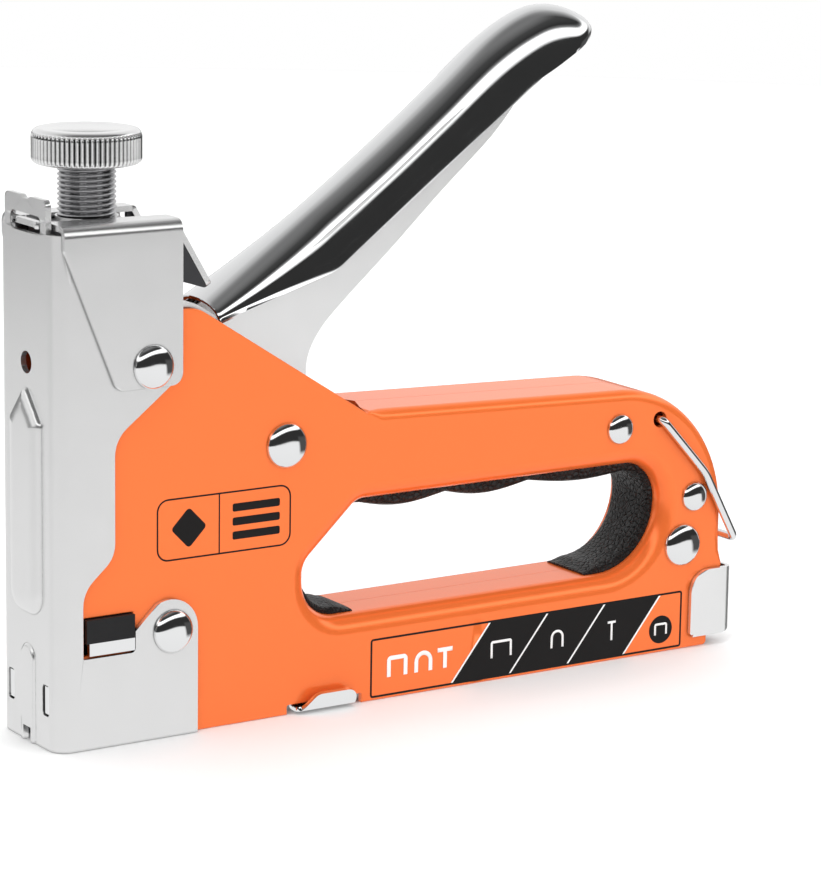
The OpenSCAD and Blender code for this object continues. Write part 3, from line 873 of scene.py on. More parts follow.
@dataclass
class BodyPlan:
    """Side view of the pressed body, shared by the shells, the grip and the label."""

    shoulder_h: float = 88.4
    handle_h: float = 60.8
    handle_rise: float = 2.2
    slope_foot_x: float = 74.5
    front_x: float = 3.7
    tail_in: float = 3.6
    tail_step_z: float = 18.5
    rear_ax: float = 29.4
    rear_cz: float = 30.0
    open_front: float = 59.8
    open_low: float = 19.1
    open_high: float = 43.7
    rear_wall: float = 16.9
    half: float = 11.2
    wall: float = 1.2
    length: float = field(init=False)

    def __post_init__(self) -> None:
        """Takes the length from the frame."""
        self.length = low_high("left_shell")[1].x

    @property
    def open_rear(self) -> float:
        """Rear end of the hand opening."""
        return self.length - self.rear_wall

    def outline(self) -> Loop:
        """Outer outline, counter-clockwise, with the notch for the release tab.

        Returns:
            The outline.
        """
        tail = self.length - self.tail_in
        return (rounded([(self.front_x, 0), (54.8, 0), (54.8, 2, 0.4), (73.3, 2, 0.4), (73.3, 0),
                         (tail, 0, 1), (tail, 2.6), (self.length, self.tail_step_z)])
                + arc((self.length - self.rear_ax, self.rear_cz), self.rear_ax,
                      self.handle_h - self.rear_cz, 0, 90, 28)
                + rounded([(self.slope_foot_x + 0.3, self.handle_h + self.handle_rise),
                           (self.slope_foot_x - 0.4, self.handle_h + 1.7, 0.3),
                           (33, self.shoulder_h, 7), (self.front_x, self.shoulder_h)]))

    def opening(self) -> Loop:
        """Hand opening, counter-clockwise.

        Returns:
            The outline.
        """
        high = self.open_high - self.open_low
        return rounded([(self.open_front, self.open_low, 8.7), (self.open_rear, self.open_low, 0.62 * high),
                        (self.open_rear, self.open_high, 0.36 * high),
                        (self.open_front + 13.2, self.open_high, 5),
                        (self.open_front, self.open_high - 12.2, 5)], 12)


@dataclass
class Shells:
    """The two painted halves of the body, pressed with turned edges."""

    plan: BodyPlan
    fold_r: float = 2.3
    opening_r: float = 4.0
    cut_r: float = 0.25
    seam: float = 0.06
    ring_steps: int = 8

    def _bent(self, point: Point2) -> float:
        """How far the outer edge is turned over at a point: 1 on the handle and the rear lobe."""
        x, z = point
        return (ramp(x, self.plan.slope_foot_x, self.plan.slope_foot_x + 0.8)
                * ramp(z, self.plan.tail_step_z - 0.5, self.plan.tail_step_z + 4))

    def _skin(self, loop: Loop, radius: Sequence[float], bent: Sequence[float]) -> list[list[Point3]]:
        """Rings from the edge of the flat face, round the fold, and back along the inside.

        Args:
            loop: the edge's outline, with the sheet on its left side.
            radius: outer radius of the fold at each point.
            bent: 1 where the edge is turned over as far as the seam, 0 where it is cut.

        Returns:
            The rings.
        """
        half, wall = self.plan.half, self.plan.wall
        angles = [math.pi / 2 * k / self.ring_steps for k in range(self.ring_steps + 1)]
        ends = [-half + max(wall, r) + (half - max(wall, r) - self.seam) * b for r, b in zip(radius, bent)]
        core = [max(r, wall + 0.02) for r in radius]
        rows = []
        for turn in angles:
            line = inset(loop, [r * (1 - math.sin(turn)) for r in radius])
            rows.append([(x, -half + r * (1 - math.cos(turn)), z) for (x, z), r in zip(line, radius)])
        rows.append([(x, y, z) for (x, z), y in zip(loop, ends)])
        rows.append([(x, y, z) for (x, z), y in zip(inset(loop, wall), ends)])
        for turn in reversed(angles):
            line = inset(loop, [c - (c - wall) * math.sin(turn) for c in core])
            rows.append([(x, -half + c - (c - wall) * math.cos(turn), z) for (x, z), c in zip(line, core)])
        return rows

    def _half(self) -> Form:
        """The left shell.

        Returns:
            Its form.
        """
        plan = self.plan
        outline = split_long(plan.outline(), 3.0)
        bent = [self._bent(p) for p in outline]
        folds = [self.cut_r + (self.fold_r - self.cut_r) * b for b in bent]
        opening = list(reversed(split_long(plan.opening(), 2.0)))
        window = list(reversed(rounded([(6.8, 19.3), (18, 19.3), (18, 27.2), (6.8, 27.2)])))
        hole = list(reversed(ring(self._bail_hole(), 1.7, 28)))
        cuts = [(outline, folds, bent), (opening, [self.opening_r] * len(opening), [1.0] * len(opening))]
        cuts += [(loop, [self.cut_r] * len(loop), [0.0] * len(loop)) for loop in (window, hole)]
        form = Form()
        outer, inner = [], []
        for loop, radius, turned in cuts:
            rows = self._skin(loop, radius, turned)
            form.grid(rows, close_cols=True)
            outer.append([(x, z) for x, _, z in rows[0]])
            inner.append([(x, z) for x, _, z in rows[-1]])
        form.fill(outer, lambda x, z: (x, -plan.half, z))
        form.fill(inner, lambda x, z: (x, -plan.half + plan.wall, z))
        return form

    @staticmethod
    def _bail_hole() -> Point2:
        """Where the bail passes through the shell."""
        low, high = low_high("wire_bail")
        return (low.x + 0.93, high.z - 0.93)

    def build(self) -> None:
        """Makes both shells."""
        left = self._half()
        for name, form in (("left_body_shell", left), ("right_body_shell", left.mirrored())):
            piece = make(name, form, PAINT, "body", [name.replace("_body", "")], sharp=30, weld=0.004)
            sheet_edges(piece)


@dataclass
class Grip:
    """Rubber lining of the hand opening, with finger bumps and a leather grain."""

    plan: BodyPlan
    half: float = 7.15
    thick: float = 1.65
    thin: float = 0.7
    bump: float = 1.9
    dips: tuple[float, ...] = (75.6, 97.2, 118.8, 149.5)
    gap_front: float = 73.1
    gap_rear: float = 133.7
    step: float = 0.8
    across: int = 22

    def _line(self) -> list[tuple[Vector, Vector]]:
        """Points along the opening with their inward normals, from the rear end to the front end.

        Returns:
            Pairs of point and normal.
        """
        loop = split_long(inset(self.plan.opening(), 0.05), self.step)
        deeper = inset(loop, 1.0)
        start = min(range(len(loop)), key=lambda i: abs(loop[i][0] - self.gap_rear)
                    + (50 if loop[i][1] > self.plan.open_low + 3 else 0))
        run = []
        for k in range(len(loop)):
            i = (start + k) % len(loop)
            here, way = Vector(loop[i]), Vector(deeper[i]) - Vector(loop[i])
            run.append((here, way.normalized()))
            if k > 20 and here.y < self.plan.open_low + 0.5 and here.x > self.gap_front:
                break
        return run

    def _thickness(self, here: Vector, share: float, length: float) -> float:
        """Thickness of the rubber.

        Args:
            here: the point on the opening's wall.
            share: share of the rubber's length there.
            length: the rubber's length.

        Returns:
            The thickness in the middle of the width.
        """
        swell = 0.0
        for low, high in zip(self.dips, self.dips[1:]):
            if low < here.x < high:
                swell = self.bump * math.sin(math.pi * (here.x - low) / (high - low))
        swell *= ramp(here.y, self.plan.open_high - 8, self.plan.open_high - 2)
        front = 1 - ramp(here.x, self.plan.open_front + 11, self.plan.open_front + 15.5)
        front *= ramp(here.y, self.plan.open_low + 4, self.plan.open_low + 9)
        flat = self.thick + (self.thin - self.thick) * front
        ends = min(share, 1 - share) * length
        return (flat + swell) * (0.30 + 0.70 * ramp(ends, 0, 4.0))

    def build(self) -> None:
        """Makes the lining."""
        run = self._line()
        length = self.step * len(run)
        rows = []
        for i, (here, way) in enumerate(run):
            high = self._thickness(here, i / (len(run) - 1), length)
            row = [(here.x, -self.half, here.y)]
            for k in range(self.across + 1):
                v = 2 * k / self.across - 1
                crown = high * (0.40 + 0.60 * math.sqrt(max(0.0, 1 - abs(v) ** 3.0)))
                spot = here + way * crown
                row.append((spot.x, v * (self.half - 0.15 * (abs(v) > 0.99)), spot.y))
            row.append((here.x, self.half, here.y))
            rows.append(row)
        piece = make("rubber_hand_grip", Form().grid(rows, close_cols=True, caps=True), RUBBER, "body",
                     ["hand_grip"], sharp=60)
        sheet_edges(piece, rim=0.35, limit=55)


@dataclass
class Label:
    """Printed panels on the body's sides, with generic marks and no lettering."""

    plan: BodyPlan
    film: float = 0.03
    x0: float = 75.4
    x1: float = 158.5
    z0: float = 0.5
    z1: float = 13.5
    border: float = 0.45
    lean: float = 0.80

    def _slant(self, x_low: float, x_high: float, z0: float, z1: float) -> Loop:
        """A leaning bar between two heights, given by its two x at the lower height."""
        shift = self.lean * (z1 - z0)
        return [(x_low, z0), (x_high, z0), (x_high + shift, z1), (x_low + shift, z1)]

    def _print(self, name: str, groups: Sequence[Sequence[Loop]], finish: Finish, lift: float) -> None:
        """Makes one colour of print on both sides.

        Args:
            name: name of the piece.
            groups: regions, each an outline with its holes.
            finish: the ink.
            lift: height of the film above the paint.
        """
        form = Form()
        for loops in groups:
            form.fill(loops, lambda x, z: (x, -self.plan.half - lift, z))
        for side, shape in (("left", form), ("right", form.mirrored())):
            piece = make(f"{side}_{name}", shape, finish, "body", sharp=30)
            face_out(piece, (110, -200 if side == "left" else 200, 20))
            sheet_edges(piece, thickness=self.film)

    def build(self) -> None:
        """Makes the size label and the framed panel."""
        z0, z1, edge = self.z0, self.z1, self.border
        frame_loop = rounded([(self.x0, z0, 0.7), (self.x1, z0, 0.7), (self.x1, z1, 0.7), (self.x0, z1, 0.7)])
        low, high = z0 + edge, z1 - edge
        dark = self._slant(self.x0 + 21.1, self.x1 - 16.3, low, high)
        panel = rounded([(23.5, 36.7, 2.6), (55.3, 36.7, 2.6), (55.3, 49.7, 2.6), (23.5, 49.7, 2.6)])
        disc = ring((152.7, 5.2), 3.2, 40)
        diamond = rounded([(31.0, 38.9, 0.8), (35.2, 43.2, 0.8), (31.0, 47.5, 0.8), (26.8, 43.2, 0.8)])
        bars = [[rounded([(41.3, z, 0.4), (52.6, z, 0.4), (52.6, z + 1.7, 0.4), (41.3, z + 1.7, 0.4)])]
                for z in (39.4, 42.35, 45.3)]
        black = [[frame_loop, inset(frame_loop, edge)], [dark], [disc], [panel, inset(panel, 0.35)],
                 [self._bar(38.0, 37.05, 49.35, 0.3)], [diamond], *bars]
        self._print("label_black", black, INK, self.film)
        white = [[self._slant(x, x + 0.5, low, high)]
                 for x in (self.x0 + 20.7, self.x0 + 36.0, self.x0 + 51.5, self.x1 - 16.3)]
        white += self._icons()
        self._print("label_white", white, WHITE_INK, 2 * self.film + 0.01)

    @staticmethod
    def _bar(x: float, z0: float, z1: float, wide: float) -> Loop:
        """An upright bar."""
        return [(x, z0), (x + wide, z0), (x + wide, z1), (x, z1)]

    @staticmethod
    def _bridge(x0: float, x1: float, z0: float, z1: float, wide: float, radius: float) -> Loop:
        """An upside-down U with a corner radius.

        Args:
            x0: front end.
            x1: rear end.
            z0: lower end.
            z1: upper end.
            wide: width of its line.
            radius: outer radius of its corners.

        Returns:
            The outline.
        """
        inner = max(0.0, radius - wide)
        return rounded([(x0, z0), (x0 + wide, z0), (x0 + wide, z1 - wide, inner),
                        (x1 - wide, z1 - wide, inner), (x1 - wide, z0), (x1, z0),
                        (x1, z1, radius), (x0, z1, radius)])

    @staticmethod
    def _nail(x: float, z0: float, z1: float, wide: float, head: float) -> Loop:
        """A headed pin.

        Args:
            x: front side of its shank.
            z0: lower end.
            z1: upper end.
            wide: width of its line.
            head: how far its head stands out to each side.

        Returns:
            The outline.
        """
        neck = z1 - wide
        return [(x, z0), (x + wide, z0), (x + wide, neck), (x + wide + head, neck), (x + wide + head, z1),
                (x - head, z1), (x - head, neck), (x, neck)]

    def _icons(self) -> list[list[Loop]]:
        """Outlines of flat staples, round staples and pins, and a small staple on the disc.

        Returns:
            One region for each mark.
        """
        return [[self._bridge(106.4, 112.0, 5.0, 8.8, 0.55, 0.6)],
                [self._bridge(122.4, 125.9, 5.0, 9.0, 0.55, 1.7)],
                [self._nail(138.75, 4.6, 9.0, 0.5, 0.85)],
                [self._bridge(150.9, 154.5, 4.0, 6.7, 0.5, 0.6)],
                [self._bridge(79.6, 84.8, 4.6, 9.2, 0.95, 1.0)],
                [self._bridge(86.6, 91.2, 4.6, 9.2, 0.95, 2.3)],
                [self._nail(94.0, 4.6, 9.2, 0.95, 1.45)]]


# ---------------------------------------------------------------- nose and bracket


RIB_DEPTHS = (0.0, 0.12, 0.4, 0.8, 1.3, 1.9, 2.6, 3.4)
ARCH_DEPTHS = (0.0, 0.18, 0.36, 0.55)


@dataclass
class NoseCover:
    """Folded satin sheet over the nose, with its pressed rib and its wings."""

    half: float = 12.4
    fold_r: float = 3.5
    wall: float = 1.2
    high: float = 105.3
    wing_len: float = 32.5
    tab_half: float = 8.8
    rib_half: float = 6.4
    rib_out: float = 1.5
    arch_half: float = 3.1
    arch_out: float = 0.45

    rib_foot: Loop = field(init=False)
    arch_foot: Loop = field(init=False)

    def __post_init__(self) -> None:
        """Works out the feet of the pressed rib and of the raised guide, seen from the front."""
        r = self.rib_half
        self.rib_foot = rounded([(-r, 27, 4.5), (r, 27, 4.5), (r, 66.8, 2), (0, 74, 1.2), (-r, 66.8, 2)], 8)
        r = self.arch_half
        self.arch_foot = [(-r, -2), (r, -2)] + arc((0, 17.5), r, r, 0, 180, 16)

    @property
    def flat(self) -> float:
        """Half of the flat front plate's width."""
        return self.half - self.fold_r

    def _along(self, x: float) -> float:
        """Distance along the sheet from its middle to a point x behind the front."""
        return self.flat + self.fold_r * (math.pi / 2 - 1) + x

    def _place(self, u: float, z: float) -> Point3:
        """Bends a point of the flat sheet to its place.

        Args:
            u: distance from the sheet's middle.
            z: height.

        Returns:
            The point in space.
        """
        a = abs(u)
        wide, back = folded(a, self.flat, self.fold_r)
        if a < self.rib_half + 0.1 and 26 < z < 75:
            t = min(1.0, max(0.0, depth_in((u, z), self.rib_foot) / RIB_DEPTHS[-1]))
            back = -self.rib_out * math.sqrt(1 - (1 - t) ** 2) * 0.98
        elif a < self.arch_half + 0.1 and z < 21:
            back = -self.arch_out * ramp(depth_in((u, z), self.arch_foot), 0, ARCH_DEPTHS[-1])
        return (back, math.copysign(wide, u), z)

    def _outline(self) -> Loop:
        """Outline of the flat sheet, counter-clockwise.

        Returns:
            The outline.
        """
        boss = 6.5
        wing = (arc((self.wing_len - boss, 22.5), boss, boss, 0, 118, 12)
                + rounded([(18, 23.4), (18, 19, 1), (6, 19, 0.3), (6, 33, 7), (13.3, 39.5, 6),
                           (13.3, 63.5, 7), (27.2, 74.2), (27.2, self.high)]))
        foot = [(self.arch_half - ARCH_DEPTHS[-1], 0), (self.arch_half, 0)]
        right = [(1.6, 0), *foot, (self._along(self.wing_len), 0)] + [(self._along(x), z) for x, z in wing]
        tab = rounded([(self.tab_half, self.high), (self.tab_half, self.high + 6.7, 1.4),
                       (2.2, self.high + 6.7, 0.6), (1.0, self.high + 6.1, 0.6), (-1.0, self.high + 6.1, 0.6),
                       (-2.2, self.high + 6.7, 0.6), (-self.tab_half, self.high + 6.7, 1.4),
                       (-self.tab_half, self.high)])
        return split_long(right + tab + [(-u, z) for u, z in reversed(right)]
                          + [(-1.6, 3.1), (1.6, 3.1)], 4.0)

    def build(self) -> None:
        """Makes the cover."""
        holes = [ring((0, 78.5), 2.3, 32),
                 rounded([(-6.4, 104.7, 1.2), (6.4, 104.7, 1.2), (6.4, 108.5, 1.2), (-6.4, 108.5, 1.2)])]
        holes += [rounded([(y, 7, 0.8), (y + 2.8, 7, 0.8), (y + 2.8, 13.5, 0.8), (y, 13.5, 0.8)])
                  for y in (6.1, -8.9)]
        folds = fold_lines(self.flat, self.fold_r, -1.0, self.high)
        dots = [p for depth in RIB_DEPTHS for p in split_long(inset(self.rib_foot, depth), 0.9)]
        dots += [p for depth in ARCH_DEPTHS for p in split_long(inset(self.arch_foot, depth), 0.7)
                 if p[1] > 3.4 or (abs(p[0]) > 1.9 and p[1] > 0.6)]
        form = Form().fill([self._outline(), *holes], self._place, folds, dots)
        piece = make("nose_front_cover", form, SATIN, "body", ["nose_cover"], sharp=50)
        face_out(piece, (-200, 0, 50))
        sheet_edges(piece, thickness=self.wall, rim=0.22)


@dataclass
class Bracket:
    """Folded bracket over the nose that carries the power screw."""

    half: float = 13.6
    fold_r: float = 2.4
    wall: float = 1.2
    top: float = 107.2
    ear_low: float = 73.6
    front_x: float = 1.7
    rear_x: float = 28.2
    ear_front: float = 13.4
    tab_half: float = 9.5
    tab_r: float = 1.3
    tab_angle: float = 59.2
    tab_len: float = 17.4
    screw_x: float = 13.8
    hole_r: float = 6.4

    @property
    def flat(self) -> float:
        """Half of the flat top's width."""
        return self.half - self.fold_r

    @property
    def tab_start(self) -> float:
        """Where the rear tab starts to bend down."""
        return self.rear_x - 0.3

    def _down(self, z: float) -> float:
        """Distance along the sheet from its middle to a height on an ear."""
        return self.flat + self.fold_r * (math.pi / 2 - 1) + self.top - z

    def _place(self, x: float, u: float) -> Point3:
        """Bends a point of the flat sheet to its place.

        Args:
            x: distance behind the tool's front.
            u: distance from the sheet's middle.

        Returns:
            The point in space.
        """
        wide, drop = folded(abs(u), self.flat, self.fold_r)
        if drop or x <= self.tab_start:
            return (x, math.copysign(wide, u), self.top - drop)
        start = self.tab_start
        limit = math.radians(self.tab_angle)
        turn = min((x - start) / self.tab_r, limit)
        rest = max(0.0, x - start - self.tab_r * limit)
        return (start + self.tab_r * math.sin(turn) + rest * math.cos(limit), u,
                self.top - self.tab_r * (1 - math.cos(turn)) - rest * math.sin(limit))

    def build(self) -> None:
        """Makes the bracket."""
        ear, tab_x = self._down(self.ear_low), self.rear_x + self.tab_len
        half = rounded([(self.front_x, 5.8), (self.front_x, self._down(102.3), 1),
                        (self.ear_front, ear, 2), (self.rear_x, ear, 2.5),
                        (self.rear_x, self.tab_half + 0.8, 0.6), (self.rear_x + 1.4, self.tab_half, 0.5),
                        (tab_x, self.tab_half, 1.5), (tab_x, 0), (-0.5, 0), (-0.5, 5.8, 0.8)])
        middle = [p for p in half if p[1] > 0.001]
        outline = split_long([(x, -u) for x, u in middle] + list(reversed(middle)), 4.0)
        limit = math.radians(self.tab_angle)
        folds = [[(x, u) for u, x in line]
                 for line in fold_lines(self.flat, self.fold_r, self.front_x - 1, self.rear_x + 1)]
        folds += [[(x, -self.tab_half - 0.5), (x, self.tab_half + 0.5)]
                  for x in (self.tab_start + self.tab_r * limit * k / 6 for k in range(7))]
        form = Form().fill([outline, ring((self.screw_x, 0), self.hole_r, 48)], self._place, folds)
        piece = make("power_screw_bracket", form, SATIN, "body", ["top_bracket"], sharp=50)
        face_out(piece, (14, 0, 300))
        sheet_edges(piece, thickness=self.wall, rim=0.25)
        self._cheeks()

    def _cheeks(self) -> None:
        """Makes the two cheeks that brace the rear tab, coloured dark grey as painted shadow under the tab.
        """
        side = rounded([(27.4, 94.6, 0.5), (36.0, 91.9, 0.8), (36.4, 92.6, 0.3),
                        (28.2, 105.8), (27.4, 105.8)])
        y = self.tab_half - 0.35
        form = Form().fill([side], lambda x, z: (x, -y, z))
        for name, shape in (("left", form), ("right", form.mirrored())):
            piece = make(f"{name}_bracket_cheek", shape, PAINTED_SHADOW_STEEL, "body", sharp=30)
            face_out(piece, (30, -200 if name == "left" else 200, 100))
            sheet_edges(piece, thickness=1.0, rim=0.2)


@dataclass
class EndCap:
    """Folded cap on the magazine's rear end."""

    half: float = 12.35
    fold_r: float = 2.0
    wall: float = 1.0
    x0: float = 160.3
    x1: float = 172.0
    z0: float = 2.5
    z1: float = 17.8
    heel_r: float = 3.0

    @property
    def flat(self) -> float:
        """Half of the flat rear face's width."""
        return self.half - self.fold_r

    def _place(self, u: float, z: float) -> Point3:
        """Bends a point of the flat sheet to its place.

        Args:
            u: distance from the sheet's middle.
            z: height.

        Returns:
            The point in space.
        """
        wide, forward = folded(abs(u), self.flat, self.fold_r)
        return (self.x1 - forward, math.copysign(wide, u), z)

    def _heel(self, u: float) -> float:
        """Height of the lower edge at a distance along the sheet."""
        run = max(0.0, self._place(u, 0)[0] - (self.x1 - self.heel_r))
        return self.z0 + self.heel_r - math.sqrt(max(0.0, self.heel_r ** 2 - run * run))

    def build(self) -> None:
        """Makes the cap."""
        end = self.flat + self.fold_r * (math.pi / 2 - 1) + self.x1 - self.x0
        right = [(u, self._heel(u)) for u in np.linspace(self.flat, end - 0.7, 14)]
        right += rounded([(end, self.z0, 0.6), (end, self.z1, 5), (0, self.z1)])[:-1]
        outline = split_long([(0, self._heel(0))] + right + [(-u, z) for u, z in reversed(right)], 3.0)
        folds = fold_lines(self.flat, self.fold_r, self.z0 - 1, self.z1 + 1)
        form = Form().fill([outline], self._place, folds)
        piece = make("magazine_end_cap", form, PALE, "magazine", ["end_cap"], sharp=50)
        face_out(piece, (300, 0, 10))
        sheet_edges(piece, thickness=self.wall, rim=0.25)


# ---------------------------------------------------------------- rivets


@dataclass
class Rivets:
    """Domed rivets through the body."""

    body_half: float = 11.2
    nose_half: float = 12.4
    ear_half: float = 13.6
    large: Point2 = (4.8, 2.0)
    middle: Point2 = (4.5, 2.0)
    small: Point2 = (3.4, 1.6)
    axle_r: float = 2.9
    shank_r: float = 1.55
    steps: int = 72
    full: float = 0.86

    def _dome(self, at: Point2, radius: float, high: float, face: float) -> Form:
        """A domed head with a small foot, on the side of -Y.

        Args:
            at: the rivet's place along X and Z.
            radius: radius of its head.
            high: height of its head.
            face: how far out the sheet that it sits on lies.

        Returns:
            The head.
        """
        flank = [math.radians(90 * k / 16) for k in range(17)]
        dome = [(radius * math.cos(t) ** self.full, high * math.sin(t) ** self.full) for t in flank]
        profile = [(0.0, 0.0), (radius - 0.2, 0.0)] + dome[:-1] + [(0.0, high)]
        form = lathe(profile, self.steps)
        form.points = [(at[0] + x, -face - z, at[1] + y) for x, y, z in form.points]
        return form

    def build(self) -> None:
        """Makes the six groups of rivets."""
        rows = (("bracket_rivets", self.middle, self.ear_half, 0.0, "bracket_rivet_heads"),
                ("nose_rivet", self.middle, self.nose_half, self.shank_r, "nose_rivet_heads"),
                ("lever_axle", self.large, self.body_half, self.axle_r, "lever_axle_heads"),
                ("handle_rivet", self.small, self.body_half, self.shank_r, "handle_rivet_heads"),
                ("rear_rivet_small", self.small, self.body_half, self.shank_r, "small_rear_rivet_heads"),
                ("rear_rivet_large", self.large, self.body_half, self.shank_r, "large_rear_rivet_heads"))
        for node, (radius, high), face, shank, name in rows:
            low, top = low_high(node)
            at = ((low.x + top.x) / 2, (low.z + top.z) / 2)
            form = self._dome(at, radius, high, face).both()
            if shank:
                pin = tube([(at[0], -face, at[1]), (at[0], face, at[1])], shank, 32)
                form.add(pin.points, pin.faces)
            make(name, form, CHROME, "body", [node], sharp=50)


# ---------------------------------------------------------------- lever


@dataclass
class LeverCover:
    """Chromed cover of the squeeze lever, a deep rounded channel with a palm end."""

    half: float = 8.6
    wall: float = 0.9
    stations: int = 150
    around: int = 48
    square: float = 0.88
    lip: float = 0.4

    @staticmethod
    def _ridge() -> Loop:
        """Top line from the front end to the tip."""
        return smooth_line([(38.5, 88.6), (50.3, 95.9), (63.7, 104.6), (80.7, 116.7), (94.5, 127.3),
                            (108.4, 138.4), (118.7, 144.0), (126, 144.9), (132.2, 142.9), (135.4, 139.9)], 12)

    @staticmethod
    def _edge() -> Loop:
        """Lower edge of the sides from the front end to the tip."""
        palm = smooth_line([(118.6, 130.6), (122.5, 132.6), (127, 135.2), (131, 137.6), (134.6, 139.2)], 8)
        return rounded([(39.9, 84.6), (67.5, 92.9, 9), (118.6, 130.6)], 8)[:-1] + palm

    def _width(self, share: float) -> float:
        """Half of the width at a share of the length: narrower at the front, round at the tip."""
        tip = max(0.0, (share - 0.925) / 0.075)
        swell = 0.97 + 0.03 * ramp(share, 0.55, 0.85)
        return self.half * swell * math.sqrt(max(0.0, 1 - tip ** 2.4))

    def build(self) -> None:
        """Makes the cover."""
        ridge, edge = even_line(self._ridge(), self.stations), even_line(self._edge(), self.stations)
        rows = []
        for i, (top, low) in enumerate(zip(ridge, edge)):
            share = i / self.stations
            wide = max(0.05, self._width(share))
            row = []
            for k in range(self.around + 1):
                turn = math.radians(90 * (2 * k / self.around - 1))
                y = wide * math.copysign(abs(math.sin(turn)) ** self.square, turn)
                drop = 1 - math.cos(turn) ** self.square
                flare = self.lip * ramp(drop, 0.90, 1.0) * (1 - ramp(share, 0.78, 0.97))
                row.append((top[0] + (low[0] - top[0]) * drop, y + math.copysign(flare, turn),
                            top[1] + (low[1] - top[1]) * drop))
            rows.append(row)
        piece = make("squeeze_lever_cover", Form().grid(rows), CHROME, "lever", ["lever_cover"],
                     sharp=70, weld=0.001)
        face_out(piece, (80, 0, 300))
        sheet_edges(piece, thickness=self.wall, rim=0.15, limit=60)


# ---------------------------------------------------------------- power screw


@dataclass
class PowerScrew:
    """Threaded screw with a knurled knob."""

    pitch: float = 1.0
    depth: float = 0.55
    teeth: int = 66
    tooth: float = 0.7
    steps: int = 96

    def _thread(self) -> None:
        """Makes the threaded shank."""
        low, high = low_high("power_screw")
        radius, x = (high.x - low.x) / 2, (low.x + high.x) / 2
        rows = []
        count = int((high.z - low.z) / self.pitch * 10)
        for i in range(count + 1):
            z = low.z + (high.z - low.z) * i / count
            fade = ramp(z, low.z, low.z + 0.8)
            row = []
            for k in range(self.steps):
                turn = k / self.steps
                phase = ((z - low.z) / self.pitch - turn) % 1.0
                cut = abs(2 * phase - 1) ** 1.3
                r = radius - self.depth * (cut * fade + (1 - fade))
                row.append((x + r * math.cos(math.tau * turn), r * math.sin(math.tau * turn), z))
            rows.append(row)
        make("power_screw_thread", Form().grid(rows, close_cols=True, caps=True), THREAD, "power_screw",
             ["power_screw"], sharp=75)

    def _knob(self) -> None:
        """Makes the knurled knob."""
        low, high = low_high("power_knob")
        radius, x = (high.x - low.x) / 2, (low.x + high.x) / 2
        tall = high.z - low.z
        band = (0.95, tall - 1.35)

        def knurl(turn: float, z: float) -> float:
            """Depth of the straight knurl at a height."""
            wave = abs(2 * ((turn * self.teeth) % 1.0) - 1) ** 2
            return -self.tooth * wave * ramp(z, band[0] - 0.75, band[0] + 0.15) * (
                1 - ramp(z, band[1] - 0.15, band[1] + 0.75))

        rim = radius - 0.25
        profile = [(0.0, 0.0), (radius - 2.2, 0.0)] + arc((radius - 1.7, 1.0), 1.6, 1.0, -75, -8, 6)
        profile += [(radius, band[0] + (band[1] - band[0]) * k / 10) for k in range(11)]
        profile += arc((rim - 1.45, tall - 1.35), 1.6, 1.35, 4, 90, 9) + [(radius - 3.5, tall)]
        profile += [(radius - 3.9, tall - 0.05), (0.0, tall - 0.05)]
        form = lathe(profile, self.teeth * 6, knurl)
        form.points = [(px + x, py, pz + low.z) for px, py, pz in form.points]
        make("knurled_power_knob", form, KNURLED, "power_screw", ["power_knob"], sharp=40)

    def build(self) -> None:
        """Makes screw and knob."""
        self._thread()
        self._knob()


# ---------------------------------------------------------------- springs, bail, tabs


@dataclass
class Springs:
    """Coil springs, made at their rest length; the real ones shorten as their joints move."""

    def build(self) -> None:
        """Makes the main spring and the pusher's spring."""
        low, high = low_high("main_spring")
        middle = ((low.x + high.x) / 2, 0.0)
        form = coil(middle, (high.x - low.x) / 2 - 1.0, 2.0, low.z, high.z, 6)
        spring = make("main_coil_spring", form, STEEL, "body", ["main_spring"], sharp=60)
        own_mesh(spring)
        low, high = low_high("pusher_spring")
        flat = coil((0, 0), (high.y - low.y) / 2 - 0.35, 0.7, low.x, high.x, 28)
        level = (low.z + high.z) / 2
        flat.points = [(z, y, level + x) for x, y, z in flat.points]
        spring = make("pusher_coil_spring", flat, STEEL, "magazine", ["pusher_spring"], sharp=60)
        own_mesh(spring)


@dataclass
class Bail:
    """Bent wire that catches the lever when the tool is stored."""

    radius: float = 0.9
    corner: float = 1.6
    route: tuple[Point2, ...] = ((0.0, 0.0), (7.3, -7.8), (12.3, -13.2), (21.1, -29.2))

    def build(self) -> None:
        """Makes the wire."""
        low, high = low_high("wire_bail")
        y = high.y - self.radius
        pivot = (low.x + self.radius + 0.03, high.z - self.radius - 0.03)
        leg = [(pivot[0] + x, -y, pivot[1] + z) for x, z in self.route]
        corners = [(pivot[0], -8.2, pivot[1])] + leg + [(x, -py, z) for x, py, z in reversed(leg)]
        corners.append((pivot[0], 8.2, pivot[1]))
        form = tube(self._rounded(corners), self.radius, 18)
        make("lever_catch_wire", form, CHROME, "bail", ["wire_bail"], sharp=60)

    def _rounded(self, corners: Sequence[Point3]) -> list[Point3]:
        """A line in space with its corners rounded.

        Args:
            corners: the line's corners and ends.

        Returns:
            The rounded line's points.
        """
        p = [Vector(c) for c in corners]
        out = [p[0]]
        for a, b, c in zip(p, p[1:], p[2:]):
            reach = min(self.corner, (a - b).length / 2.1, (c - b).length / 2.1)
            first, last = b + (a - b).normalized() * reach, b + (c - b).normalized() * reach
            out += [first.lerp(b, t).lerp(b.lerp(last, t), t) for t in (k / 8 for k in range(9))]
        return [tuple(q) for q in out + [p[-1]]]


